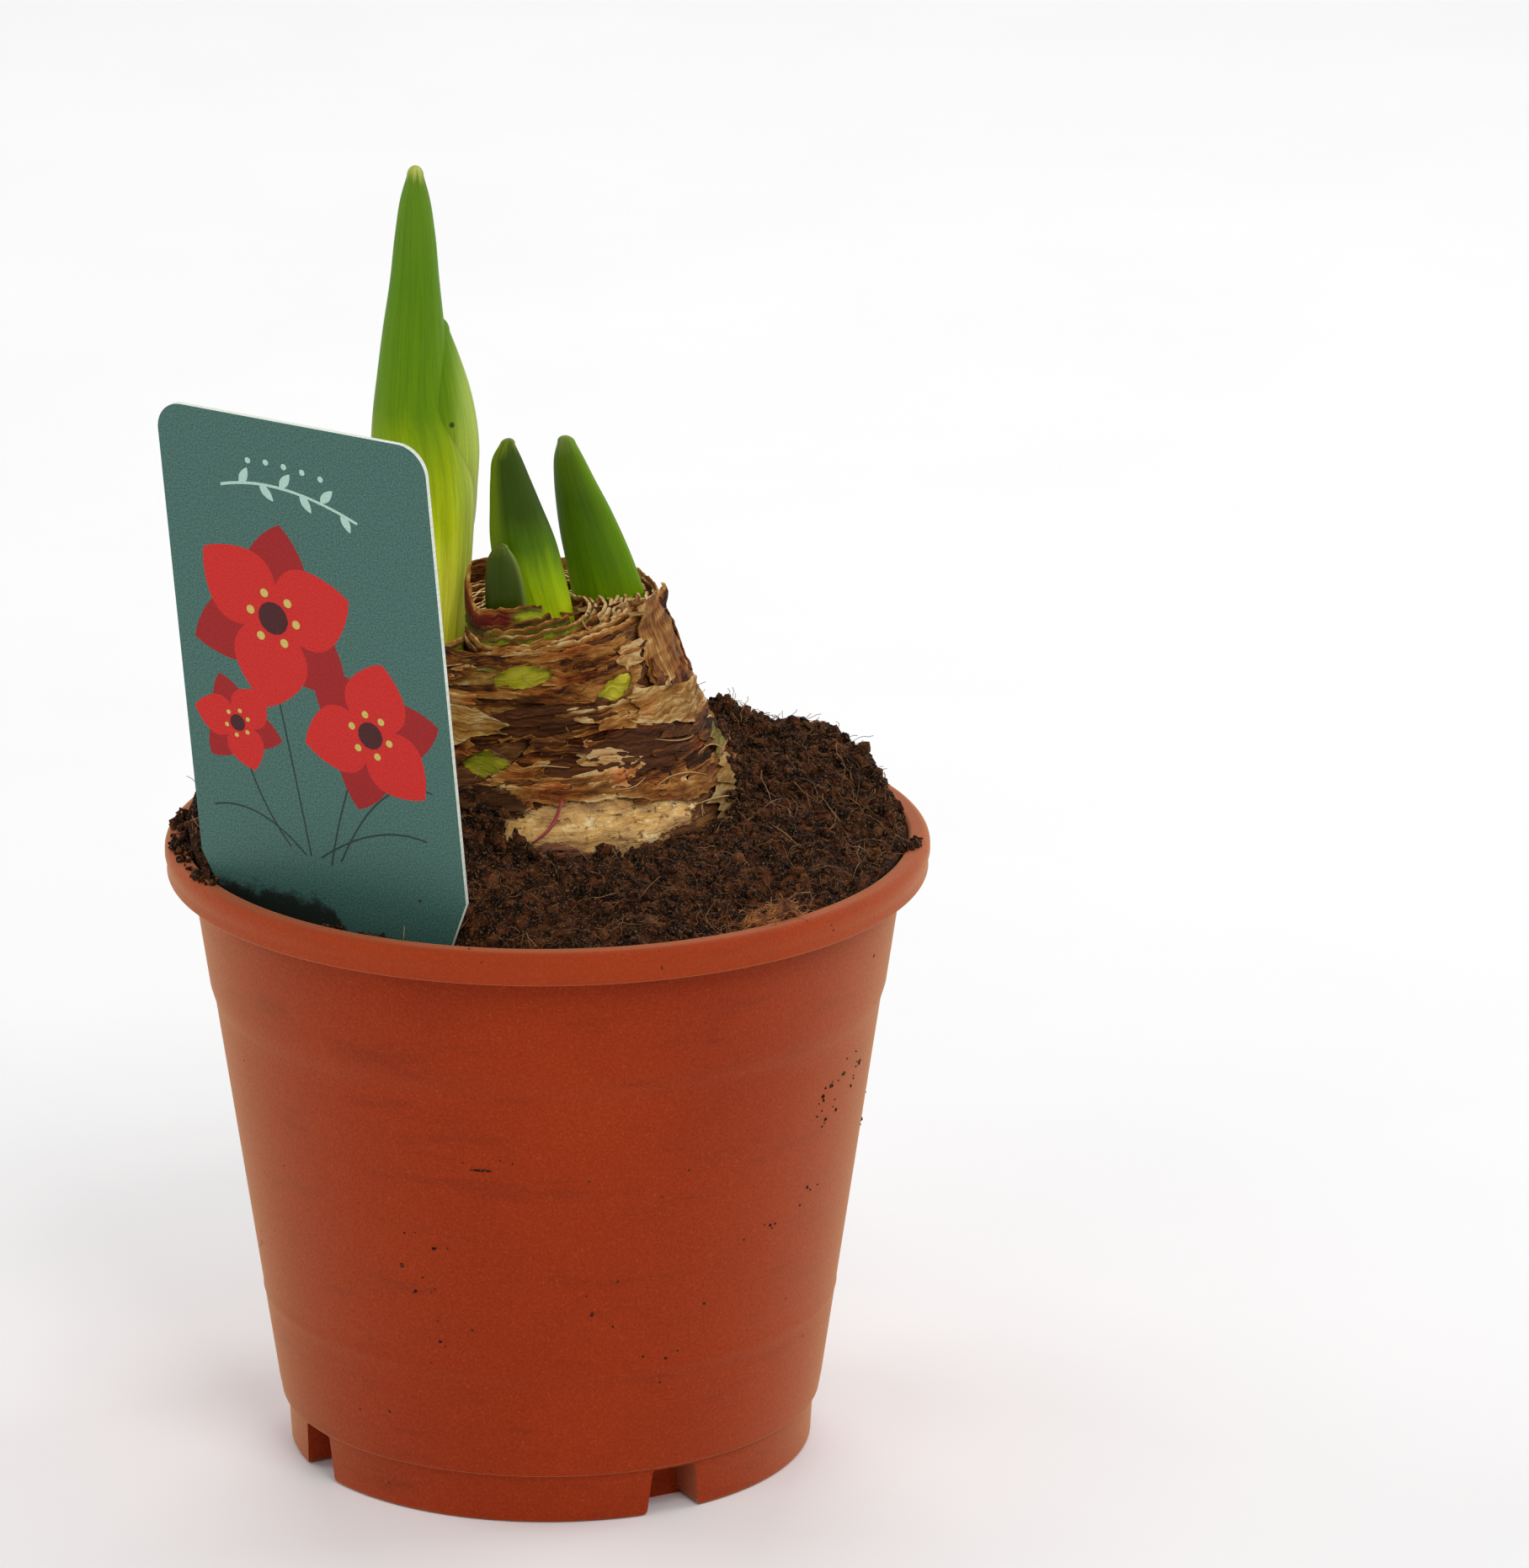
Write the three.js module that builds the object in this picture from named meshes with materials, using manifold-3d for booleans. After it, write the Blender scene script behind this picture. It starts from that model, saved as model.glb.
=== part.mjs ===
// A potted amaryllis, as sold in winter: a large bulb, half buried in peat in a round nursery pot, with one
// closed flower shoot, three young leaves and a plastic plant label pushed into the peat.
// Millimetres, +Z up. The origin is the middle of the pot's underside, and the front of the pot is at -Y.
import * as THREE from "three";
import { mergeVertices } from "three/addons/utils/BufferGeometryUtils.js";
import Module from "manifold-3d";

const wasm = await Module();
wasm.setup();

// Clearance between pieces that touch on the real plant
const GAP = 0.35;

// Pot, in thin moulded plastic
const POT_HEIGHT = 107.5;
const RIM_RADIUS = 64.5;
const RIM_SKIRT = 5.6;
const RIM_INNER_RADIUS = 60.8;
const WALL = 1.2;
const FLOOR = 1.5;
const FOOT_RADIUS = 44.4;
const FOOT_HEIGHT = 8.6;
const CONE_START_RADIUS = 45.9;
const CONE_SLOPE = 0.147;
const SHOULDER_HEIGHT = 80;
const SHOULDER_STEP = 0.45;
const POT_SIDES = 56;

// Drain pockets moulded into the foot
const POCKET_ANGLES = [-62.5, 28, 118, 208];
const POCKET_WIDTH = 9.6;
const POCKET_TAPER = 0.7;
const POCKET_HEIGHT = 8.2;
const POCKET_INNER_RADIUS = 36.8;
const DRAIN_RADIUS = 2.6;

// Bulb: radius at each height, round an axis that leans a little to the left in the neck
const BULB_AXIS = [-2, 4];
const NECK_LEAN = -2;
const BULB_PROFILE = [
  [12, 64],
  [18, 66],
  [25, 71],
  [31, 78],
  [35.4, 87],
  [37.3, 97],
  [37.4, 106],
  [36.9, 112.5],
  [35.8, 116.5],
  [33.6, 119.6],
  [31, 122.4],
  [29, 126],
  [27, 131],
  [25.5, 136],
  [24, 141],
];
const BULB_SHOULDER = 36;
const NECK_RADIUS = 22.7;
const NECK_TOP = 145.6;
const NECK_TILT = 0.15;
const CUT_SCALES = 6;
const SCALE_RIDGE = 1.5;
const SCALE_CENTRE_SHIFT = [3, -4];
const FURROWS = 7;
const COLLAR = { x: -6.4, y: -6.4, radius: 6.2, from: -20, to: -215, foot: 142, lip: 150.6, tip: 156.2 };
const BULB_SIDES = 40;
const ROOT_COUNT = 9;
const ROOT_RADIUS = 2.2;
const ROOT_DROP = 38;
const ROOT_START = 7;
const ROOT_SPREAD = 13;

// Peat: height at the pot's rim and round the bulb, higher at the back than at the front
const PEAT_RIM_LEVEL = 109.4;
const PEAT_RIM_SLOPE = 3.3;
const PEAT_BULB_LEVEL = 117;
const PEAT_BULB_SLOPE = 2.8;
// A bank behind the right of the rim, two clods against the bulb, and a lower place before the label
const PEAT_BANK = { rise: 4.8, angle: 22, spread: 23 };
const PEAT_CLODS = [
  { rise: 7.5, x: 30.5, y: 20, spread: 4.5 },
  { rise: 7.5, x: -15.5, y: -27, spread: 7.5 },
];
const PEAT_BEFORE_LABEL = 102.4;
const LABEL_HOLLOW = [-4.5, -1.5];
// Width and height of the coarse and the fine lumps
const LUMPS = [
  [8, 1.1],
  [3.4, 0.8],
];
const PEAT_SIDES = 72;
const PEAT_RING_STEP = 3.4;

// Dry outer scales
const TUNIC_THICKNESS = 0.8;
const TUNIC_STAND_OFF = 0.5;
const TUNIC_CREASE = 0.25;

// Flower shoot: left edge, right edge and height of the outer bract and of the inner one
const SHOOT_Y = 2;
const SHOOT_DEPTH = 0.8;
const OUTER_BRACT = [
  [-27.1, -13.9, 132],
  [-27.2, -13.8, 139.8],
  [-27.3, -12.8, 150.5],
  [-27.8, -12.4, 159.7],
  [-28.7, -12.6, 167.9],
  [-29.1, -13.9, 175.6],
  [-28.7, -15.3, 181.4],
  [-28.0, -16.0, 187.1],
  [-27.0, -16.6, 194.8],
  [-25.7, -17.4, 203.3],
  [-24.7, -18.1, 211.9],
  [-23.7, -19.0, 218.0],
  [-22.7, -19.9, 221.4],
];
const OUTER_BRACT_TIP = [-21.3, 223.2];
const INNER_BRACT = [
  [-23.6, -15.3, 150.5],
  [-24.6, -12.1, 160.2],
  [-25.5, -11.3, 168.4],
  [-25.5, -11.0, 173.7],
  [-25.0, -11.4, 179.0],
  [-24.5, -12.4, 184.2],
  [-23.0, -14.2, 190.0],
  [-21.5, -15.8, 194.3],
];
const INNER_BRACT_TIP = [-18.6, 197.1];
const INNER_BRACT_BACK = 1.2;

// Leaves: centre, width and height up each tongue
const LEAF_THICKNESS = 4.2;
const LEAF_HOLLOW = 0.9;
const LEAF_MIDDLE = {
  y: -2.5,
  turn: 6,
  rings: [
    [0.6, 9.5, 138.7],
    [-0.3, 10.2, 145.5],
    [-2.2, 11.3, 152.3],
    [-3.8, 10.9, 159.5],
    [-5.0, 8.6, 165.6],
    [-5.8, 6.8, 169.9],
    [-6.4, 4.5, 174.3],
    [-6.3, 2.5, 176.3],
  ],
  tip: [-6.1, 177.3],
};
const LEAF_RIGHT = {
  y: 4.5,
  turn: -14,
  rings: [
    [10.8, 12.2, 139.9],
    [10.4, 12.8, 146.7],
    [9.0, 12.0, 153.0],
    [7.6, 11.0, 157.9],
    [6.0, 9.1, 163.6],
    [4.8, 7.2, 167.8],
    [3.8, 4.9, 172.2],
    [3.5, 3.1, 174.5],
  ],
  tip: [3.3, 175.7],
};
const LEAF_SMALL = {
  y: -7.6,
  turn: 4,
  rings: [
    [-6.2, 6.7, 140.5],
    [-6.5, 6.9, 147.3],
    [-6.8, 6.7, 152.1],
    [-7.1, 5.8, 155.6],
    [-7.4, 4.3, 158.2],
    [-7.5, 2.5, 159.7],
  ],
  tip: [-7.5, 160.5],
};

// Plant label: a flat plastic strip that ends in a point
const LABEL_WIDTH = 53.4;
const LABEL_STRAIGHT = 81.3;
const LABEL_LENGTH = 134;
const LABEL_SHOULDER = 5;
const LABEL_CORNER = 5.2;
const LABEL_THICKNESS = 0.8;
const LABEL_ANCHOR = [-35.3, -37.4, 112.4];
const LABEL_TURN = -34.3;
const LABEL_LEAN = 7.85;

const radians = THREE.MathUtils.degToRad;
const mix = THREE.MathUtils.lerp;
const smoothstep = THREE.MathUtils.smoothstep;

// Repeatable value noise between -1 and 1
function cornerValue(x, y, z) {
  const wave = Math.sin(x * 127.1 + y * 311.7 + z * 74.7) * 43758.5453;
  return 2 * (wave - Math.floor(wave)) - 1;
}

function noise(x, y, z) {
  const corner = [Math.floor(x), Math.floor(y), Math.floor(z)];
  const [u, v, w] = [x, y, z].map((value, axis) => smoothstep(value - corner[axis], 0, 1));
  const at = (i, j, k) => cornerValue(corner[0] + i, corner[1] + j, corner[2] + k);
  const low = mix(mix(at(0, 0, 0), at(1, 0, 0), u), mix(at(0, 1, 0), at(1, 1, 0), u), v);
  const high = mix(mix(at(0, 0, 1), at(1, 0, 1), u), mix(at(0, 1, 1), at(1, 1, 1), u), v);
  return mix(low, high, w);
}

// Geometry to solid and back
function toSolid(geometry) {
  const bare = new THREE.BufferGeometry();
  bare.setAttribute("position", geometry.getAttribute("position"));
  bare.setIndex(geometry.getIndex());
  const merged = mergeVertices(bare, 1e-4);
  const index = merged.getIndex().array;
  const triangles = [];
  for (let i = 0; i < index.length; i += 3) {
    const [a, b, c] = [index[i], index[i + 1], index[i + 2]];
    if (a !== b && b !== c && c !== a) triangles.push(a, b, c);
  }
  const build = (triVerts) =>
    new wasm.Manifold(
      new wasm.Mesh({
        numProp: 3,
        vertProperties: merged.getAttribute("position").array,
        triVerts: new Uint32Array(triVerts),
      }),
    );
  const solid = build(triangles);
  return solid.volume() > 0 ? solid : build(triangles.reverse());
}

function toGeometry(solid) {
  const mesh = solid.getMesh();
  const geometry = new THREE.BufferGeometry();
  geometry.setAttribute("position", new THREE.BufferAttribute(mesh.vertProperties, 3));
  geometry.setIndex(new THREE.BufferAttribute(mesh.triVerts, 1));
  geometry.computeVertexNormals();
  return geometry;
}

function joined(solids) {
  return solids.reduce((whole, solid) => whole.add(solid));
}

// The largest body of a solid that a cut has left in pieces
function largestBody(solid) {
  const bodies = solid.decompose();
  return bodies.reduce((best, body) => (body.volume() > best.volume() ? body : best));
}

// A profile of [radius, height] points turned round the Z axis
function turned(profile, sides) {
  const points = profile.map(([radius, height]) => new THREE.Vector2(radius, height));
  return new THREE.LatheGeometry(points, sides).rotateX(Math.PI / 2);
}

// A closed skin over rings of points that lie one above the other, closed at each end by a point
function loft(rings, bottom, top) {
  const sides = rings[0].length;
  const points = [...rings.flat(), bottom, top];
  const bottomIndex = points.length - 2;
  const topIndex = points.length - 1;
  const index = [];
  for (let side = 0; side < sides; side++) {
    const next = (side + 1) % sides;
    index.push(bottomIndex, next, side);
    for (let ring = 0; ring + 1 < rings.length; ring++) {
      const [a, b] = [ring * sides + side, ring * sides + next];
      index.push(a, b, b + sides, a, b + sides, a + sides);
    }
    const last = (rings.length - 1) * sides;
    index.push(last + side, last + next, topIndex);
  }
  return new THREE.BufferGeometry().setFromPoints(points).setIndex(index);
}

// A thin closed sheet over a grid of cells. The two faces are given point by point, and a cell that is
// left out is a hole right through.
function sheet(columns, rows, outerPoint, innerPoint, isHole = () => false) {
  const points = [];
  const count = (columns + 1) * (rows + 1);
  for (const face of [outerPoint, innerPoint]) {
    for (let j = 0; j <= rows; j++) {
      for (let i = 0; i <= columns; i++) points.push(face(i / columns, j / rows));
    }
  }
  const at = (i, j) => j * (columns + 1) + i;
  const kept = (i, j) => i >= 0 && j >= 0 && i < columns && j < rows && !isHole(i, j);
  const index = [];
  const edgeWall = (a, b) => index.push(a, a + count, b + count, a, b + count, b);
  for (let j = 0; j < rows; j++) {
    for (let i = 0; i < columns; i++) {
      if (!kept(i, j)) continue;
      const [a, b, c, d] = [at(i, j), at(i + 1, j), at(i + 1, j + 1), at(i, j + 1)];
      index.push(a, b, c, a, c, d);
      index.push(a + count, c + count, b + count, a + count, d + count, c + count);
      if (!kept(i, j - 1)) edgeWall(a, b);
      if (!kept(i + 1, j)) edgeWall(b, c);
      if (!kept(i, j + 1)) edgeWall(c, d);
      if (!kept(i - 1, j)) edgeWall(d, a);
    }
  }
  return new THREE.BufferGeometry().setFromPoints(points).setIndex(index);
}

// Pot
function coneRadius(height) {
  return CONE_START_RADIUS + CONE_SLOPE * (height - FOOT_HEIGHT);
}

// The pot's inner wall, or the same wall drawn in by a clearance
function innerProfile(inset) {
  const under = inset * 0.9;
  return [
    [0, FLOOR + under],
    [FOOT_RADIUS - WALL - inset, FLOOR + under],
    [FOOT_RADIUS - WALL + 0.5 - inset, FOOT_HEIGHT],
    [coneRadius(SHOULDER_HEIGHT) - WALL - inset, SHOULDER_HEIGHT],
    [coneRadius(SHOULDER_HEIGHT + 3) + SHOULDER_STEP - WALL - inset, SHOULDER_HEIGHT + 3],
    [coneRadius(POT_HEIGHT - 5) - WALL - inset, POT_HEIGHT - 5],
    [RIM_INNER_RADIUS - 0.7 - inset, POT_HEIGHT - 2.6],
  ];
}

function pocketShape(grow) {
  const half = POCKET_WIDTH / 2 + grow;
  const top = POCKET_HEIGHT + grow;
  return new THREE.Shape([
    new THREE.Vector2(-half, -2),
    new THREE.Vector2(half, -2),
    new THREE.Vector2(half - POCKET_TAPER, top),
    new THREE.Vector2(-half + POCKET_TAPER, top),
  ]);
}

// A drain pocket, or the moulded wall round it when it is grown
function drainPocket(degrees, grow, reach) {
  const angle = radians(degrees);
  const out = new THREE.Vector3(Math.cos(angle), Math.sin(angle), 0);
  const up = new THREE.Vector3(0, 0, 1);
  const across = new THREE.Vector3().crossVectors(up, out);
  const start = POCKET_INNER_RADIUS - grow;
  const block = new THREE.ExtrudeGeometry(pocketShape(grow), { depth: reach - start, bevelEnabled: false });
  const seat = new THREE.Matrix4().makeBasis(across, up, out);
  return toSolid(block.applyMatrix4(seat.setPosition(out.clone().multiplyScalar(start))));
}

function drainHole(degrees) {
  const angle = radians(degrees);
  const middle = (POCKET_INNER_RADIUS + FOOT_RADIUS - WALL) / 2;
  const hole = new THREE.CylinderGeometry(DRAIN_RADIUS, DRAIN_RADIUS, 8, 16).rotateX(Math.PI / 2);
  hole.translate(middle * Math.cos(angle), middle * Math.sin(angle), POCKET_HEIGHT);
  return toSolid(hole);
}

function makePot() {
  const skirtFoot = POT_HEIGHT - RIM_SKIRT;
  const wallTop = coneRadius(POT_HEIGHT - 3);
  const inner = innerProfile(0).reverse();
  const body = toSolid(
    turned(
      [
        [0, 0],
        [FOOT_RADIUS, 0],
        [FOOT_RADIUS + 0.6, FOOT_HEIGHT],
        [CONE_START_RADIUS, FOOT_HEIGHT + 0.5],
        [coneRadius(SHOULDER_HEIGHT), SHOULDER_HEIGHT],
        [coneRadius(SHOULDER_HEIGHT + 3) + SHOULDER_STEP, SHOULDER_HEIGHT + 3],
        [wallTop, POT_HEIGHT - 3],
        [RIM_RADIUS - 1.7, POT_HEIGHT - 3],
        [RIM_RADIUS - 1.6, skirtFoot],
        [RIM_RADIUS - 0.6, skirtFoot],
        [RIM_RADIUS, skirtFoot + 1.3],
        [RIM_RADIUS - 0.3, POT_HEIGHT - 2],
        [RIM_RADIUS - 1.2, POT_HEIGHT - 0.7],
        [RIM_RADIUS - 2.8, POT_HEIGHT],
        [RIM_INNER_RADIUS + 0.4, POT_HEIGHT - 0.2],
        [RIM_INNER_RADIUS, POT_HEIGHT - 1.2],
        ...inner,
      ],
      POT_SIDES,
    ),
  );
  // Each pocket has its own roof and side walls, which stand inside the pot and run into its wall
  const inside = toSolid(turned([...innerProfile(-WALL / 2), [0, POT_HEIGHT]], POT_SIDES));
  const housings = joined(POCKET_ANGLES.map((angle) => drainPocket(angle, WALL, FOOT_RADIUS)));
  const pockets = joined(POCKET_ANGLES.map((angle) => drainPocket(angle, 0, RIM_RADIUS)));
  const holes = joined(POCKET_ANGLES.map(drainHole));
  return body.add(housings.intersect(inside)).subtract(pockets).subtract(holes);
}

// Bulb
function bulbAxis(height) {
  const lean = smoothstep(height, 118, 146) * NECK_LEAN;
  return [BULB_AXIS[0] + lean, BULB_AXIS[1]];
}

// Radius of the fleshy bulb at a height, between the points of its profile
function bulbRadius(height) {
  const profile = [...BULB_PROFILE, [NECK_RADIUS, NECK_TOP]];
  if (height <= profile[0][1]) return profile[0][0];
  for (let i = 1; i < profile.length; i++) {
    const [r0, z0] = profile[i - 1];
    const [r1, z1] = profile[i];
    if (height <= z1) return mix(r0, r1, (height - z0) / (z1 - z0));
  }
  return NECK_RADIUS;
}

function bulbPoint(angle, height, offset) {
  const [x, y] = bulbAxis(height);
  const radius = bulbRadius(height) + offset;
  return new THREE.Vector3(x + radius * Math.cos(angle), y + radius * Math.sin(angle), height);
}

function ringOf(sides, pointAt) {
  return Array.from({ length: sides }, (_, side) => pointAt((2 * Math.PI * side) / sides));
}

// Shallow vertical furrows and swellings, as a scaly bulb has under its dry skins
function bulbRelief(angle, height) {
  const swell = 0.35 * noise(3 * Math.cos(angle), 3 * Math.sin(angle), height / 14);
  const shoulder = smoothstep(height, 108, 124);
  return swell - 0.25 * shoulder * (0.5 + 0.5 * Math.cos(FURROWS * angle + height / 9));
}

// Top of the neck, where the old scales are cut across in rings round the young leaves
function neckRings(offset) {
  const rings = [];
  const [x, y] = bulbAxis(NECK_TOP);
  for (let step = 0; step < 2 * CUT_SCALES - 1; step++) {
    const share = step / (2 * CUT_SCALES - 1);
    const radius = (NECK_RADIUS + offset) * (1 - share);
    const ridge = step % 2 === 1 ? -SCALE_RIDGE : 0;
    rings.push(
      ringOf(BULB_SIDES, (angle) => {
        const wave = 0.5 * noise(5 * Math.cos(angle) + step, 5 * Math.sin(angle), step);
        const px = x + SCALE_CENTRE_SHIFT[0] * share + radius * Math.cos(angle);
        const py = y + SCALE_CENTRE_SHIFT[1] * share + radius * Math.sin(angle);
        const height = NECK_TOP + NECK_TILT * px + 1.6 * share + ridge + wave;
        return new THREE.Vector3(px, py, height + offset);
      }),
    );
  }
  return rings;
}

function bulbBody(offset) {
  const walls = BULB_PROFILE.map(([, height]) =>
    ringOf(BULB_SIDES, (angle) => {
      const point = bulbPoint(angle, height, offset + bulbRelief(angle, height));
      point.z += height > 138 ? NECK_TILT * point.x : 0;
      return point;
    }),
  );
  const [x, y] = BULB_AXIS;
  const bottom = new THREE.Vector3(x, y, BULB_PROFILE[0][1] - 0.5 - offset);
  const middle = new THREE.Vector3(x + 1, y - 4, NECK_TOP + 1 + offset);
  return toSolid(loft([...walls, ...neckRings(offset)], bottom, middle));
}

// One fleshy root, curving out and down from the basal plate
function root(number, offset) {
  const angle = radians(20 + (360 * number) / ROOT_COUNT);
  const spread = 1 + 0.35 * Math.sin(4.1 * number);
  const drop = ROOT_DROP * (1 + 0.2 * Math.cos(2.7 * number));
  const [x, y] = BULB_AXIS;
  const rings = [];
  const steps = 4;
  for (let step = 0; step <= steps; step++) {
    const t = step / steps;
    const out = ROOT_START + ROOT_SPREAD * spread * Math.sin((t * Math.PI) / 2);
    const bend = 0.35 * t * Math.sin(1.9 * number);
    const centre = new THREE.Vector3(
      x + out * Math.cos(angle + bend),
      y + out * Math.sin(angle + bend),
      BULB_PROFILE[0][1] + 4 - drop * t,
    );
    const radius = (ROOT_RADIUS + offset) * (1 - 0.45 * t);
    const rim = (turn) => new THREE.Vector3(Math.cos(turn), Math.sin(turn), 0).multiplyScalar(radius);
    rings.unshift(ringOf(5, (turn) => rim(turn).add(centre)));
  }
  const ends = [rings[0], rings[steps]].map((ring) =>
    ring.reduce((sum, point) => sum.add(point), new THREE.Vector3()).divideScalar(ring.length),
  );
  ends[0].z -= 1.5 + offset;
  ends[1].z += 0.5;
  return toSolid(loft(rings, ends[0], ends[1]));
}

function bulbWithRoots(offset) {
  const roots = Array.from({ length: ROOT_COUNT }, (_, number) => root(number, offset));
  return joined([bulbBody(offset), ...roots]);
}

// Cut scale that stands up round the small front leaf, highest at its left
function collar() {
  const { x, y, radius, from, to, foot, lip, tip } = COLLAR;
  const wallPoint = (reach) => (u, v) => {
    const angle = radians(mix(from, to, u));
    const top = lip + (tip - lip) * smoothstep(u, 0.5, 0.95) + 0.3 * noise(9 * u, 1, 1);
    const [px, py] = [x + 1.15 * reach * Math.cos(angle), y + 0.85 * reach * Math.sin(angle)];
    return new THREE.Vector3(px, py, mix(foot, top, v));
  };
  return toSolid(sheet(16, 2, wallPoint(radius), wallPoint(radius - 1.1)));
}

// A strap of thick young leaf: convex towards the front, a little hollow behind
function leafSolid(leaf, offset) {
  const turn = radians(leaf.turn);
  const across = new THREE.Vector3(Math.cos(turn), Math.sin(turn), 0);
  const back = new THREE.Vector3(-Math.sin(turn), Math.cos(turn), 0);
  const tallest = Math.max(...leaf.rings.map(([, width]) => width));
  const rings = leaf.rings.map(([x, width, z]) => {
    const thickness = LEAF_THICKNESS * Math.sqrt(width / tallest);
    return ringOf(16, (angle) => {
      const side = Math.cos(angle) * (width / 2 + offset);
      const depth = Math.sin(angle) * (thickness / 2 + offset);
      const hollow = LEAF_HOLLOW * (side / (width / 2)) ** 2 * (width / tallest);
      return new THREE.Vector3(x, leaf.y, z)
        .addScaledVector(across, side)
        .addScaledVector(back, depth + hollow);
    });
  });
  const [x0, , z0] = leaf.rings[0];
  const [tipX, tipZ] = leaf.tip;
  const bottom = new THREE.Vector3(x0, leaf.y, z0 - 0.5 - offset);
  return toSolid(loft(rings, bottom, new THREE.Vector3(tipX, leaf.y, tipZ + offset)));
}

// Flower shoot: the stalk and the two bracts that still wrap the bud, one over the other
function bractSolid(rings, tip, shift, offset) {
  const sections = rings.map(([left, right, z]) =>
    ringOf(20, (angle) => {
      const half = (right - left) / 2 + offset;
      const x = (left + right) / 2 + half * Math.cos(angle);
      const y = SHOOT_Y + shift + SHOOT_DEPTH * half * Math.sin(angle);
      return new THREE.Vector3(x, y, z);
    }),
  );
  const [left, right, z] = rings[0];
  const bottom = new THREE.Vector3((left + right) / 2, SHOOT_Y + shift, z - 0.5 - offset);
  return toSolid(loft(sections, bottom, new THREE.Vector3(tip[0], SHOOT_Y + shift, tip[1] + offset)));
}

function shootSolid(offset) {
  const outer = bractSolid(OUTER_BRACT, OUTER_BRACT_TIP, 0, offset);
  const inner = bractSolid(INNER_BRACT, INNER_BRACT_TIP, INNER_BRACT_BACK, offset);
  return outer.add(inner);
}

function makeBulb() {
  const sprouts = [LEAF_MIDDLE, LEAF_RIGHT, LEAF_SMALL].map((leaf) => leafSolid(leaf, GAP));
  const seats = joined([...sprouts, shootSolid(GAP)]);
  return largestBody(bulbWithRoots(0).add(collar()).subtract(seats));
}

// Dry outer scales: thin torn sheets that wrap the neck and shoulder of the bulb
function tunic(piece) {
  const edge = (u, seed) => piece.torn * noise(u * piece.tears, seed, 0.5);
  const point = (offset) => (u, v) => {
    const angle = radians(mix(piece.from, piece.to, u));
    const low = piece.low(u) + edge(u, 1.5);
    const high = piece.high(u) + edge(u, 7.5);
    const height = mix(low, high, v);
    const crease = TUNIC_CREASE * noise(u * 16, v * 3, piece.from);
    const lifted = offset + TUNIC_STAND_OFF + piece.lift(u, v) + crease + bulbRelief(angle, height);
    const made = bulbPoint(angle, Math.min(height, NECK_TOP), lifted);
    made.z = height;
    return made;
  };
  const isHole = (i, j) => piece.windows.some(([i0, i1, j0, j1]) => i >= i0 && i < i1 && j >= j0 && j < j1);
  return toSolid(sheet(piece.columns, piece.rows, point(TUNIC_THICKNESS + GAP), point(GAP), isHole));
}

const TUNICS = {
  tunic_front: {
    from: -152,
    to: -42,
    columns: 22,
    rows: 8,
    low: () => 122.6,
    high: (u) => mix(141.5, 146.8, u),
    lift: () => 0,
    torn: 1.6,
    tears: 13,
    // The green flesh shows through three torn places, given in cells of the sheet
    windows: [
      [10, 15, 6, 7],
      [18, 21, 4, 6],
      [6, 10, 1, 2],
    ],
  },
  tunic_back: {
    from: 66,
    to: 204,
    columns: 20,
    rows: 5,
    low: () => 123.5,
    high: (u) => mix(148.5, 144, u),
    lift: () => 0,
    torn: 1.4,
    tears: 15,
    windows: [],
  },
  tunic_shoulder: {
    from: -70,
    to: 52,
    columns: 20,
    rows: 3,
    low: () => 123.2,
    high: () => 131,
    lift: (u, v) => mix(1.3, 1.7, v),
    torn: 1.1,
    tears: 12,
    windows: [],
  },
  tunic_flap: {
    from: -38,
    to: 61,
    columns: 14,
    rows: 6,
    low: () => 132.6,
    high: (u) => mix(150.6, 148.6, u),
    lift: (u, v) => 1.4 - 2.2 * smoothstep(v, 0.6, 1) * Math.sin(Math.PI * u),
    torn: 0.8,
    tears: 9,
    windows: [],
  },
};

// Plant label
function labelShape(grow) {
  const half = LABEL_WIDTH / 2 + grow;
  const top = LABEL_STRAIGHT + grow;
  const tip = LABEL_STRAIGHT - LABEL_LENGTH - grow;
  const corner = LABEL_CORNER + grow;
  const shape = new THREE.Shape();
  shape.moveTo(-half, 0);
  shape.lineTo(-LABEL_SHOULDER, tip + LABEL_SHOULDER);
  shape.lineTo(0, tip);
  shape.lineTo(LABEL_SHOULDER, tip + LABEL_SHOULDER);
  shape.lineTo(half, 0);
  shape.lineTo(half, top - corner);
  shape.absarc(half - corner, top - corner, corner, 0, Math.PI / 2, false);
  shape.lineTo(-half + corner, top);
  shape.absarc(-half + corner, top - corner, corner, Math.PI / 2, Math.PI, false);
  return shape;
}

function labelSolid(grow) {
  const thickness = LABEL_THICKNESS + 2 * grow;
  const plate = new THREE.ExtrudeGeometry(labelShape(grow), {
    depth: thickness,
    bevelEnabled: false,
    curveSegments: 6,
  });
  plate.translate(0, 0, -thickness / 2);
  plate.rotateX(radians(90 + LABEL_LEAN)).rotateZ(radians(LABEL_TURN)).translate(...LABEL_ANCHOR);
  return toSolid(plate);
}

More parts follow.
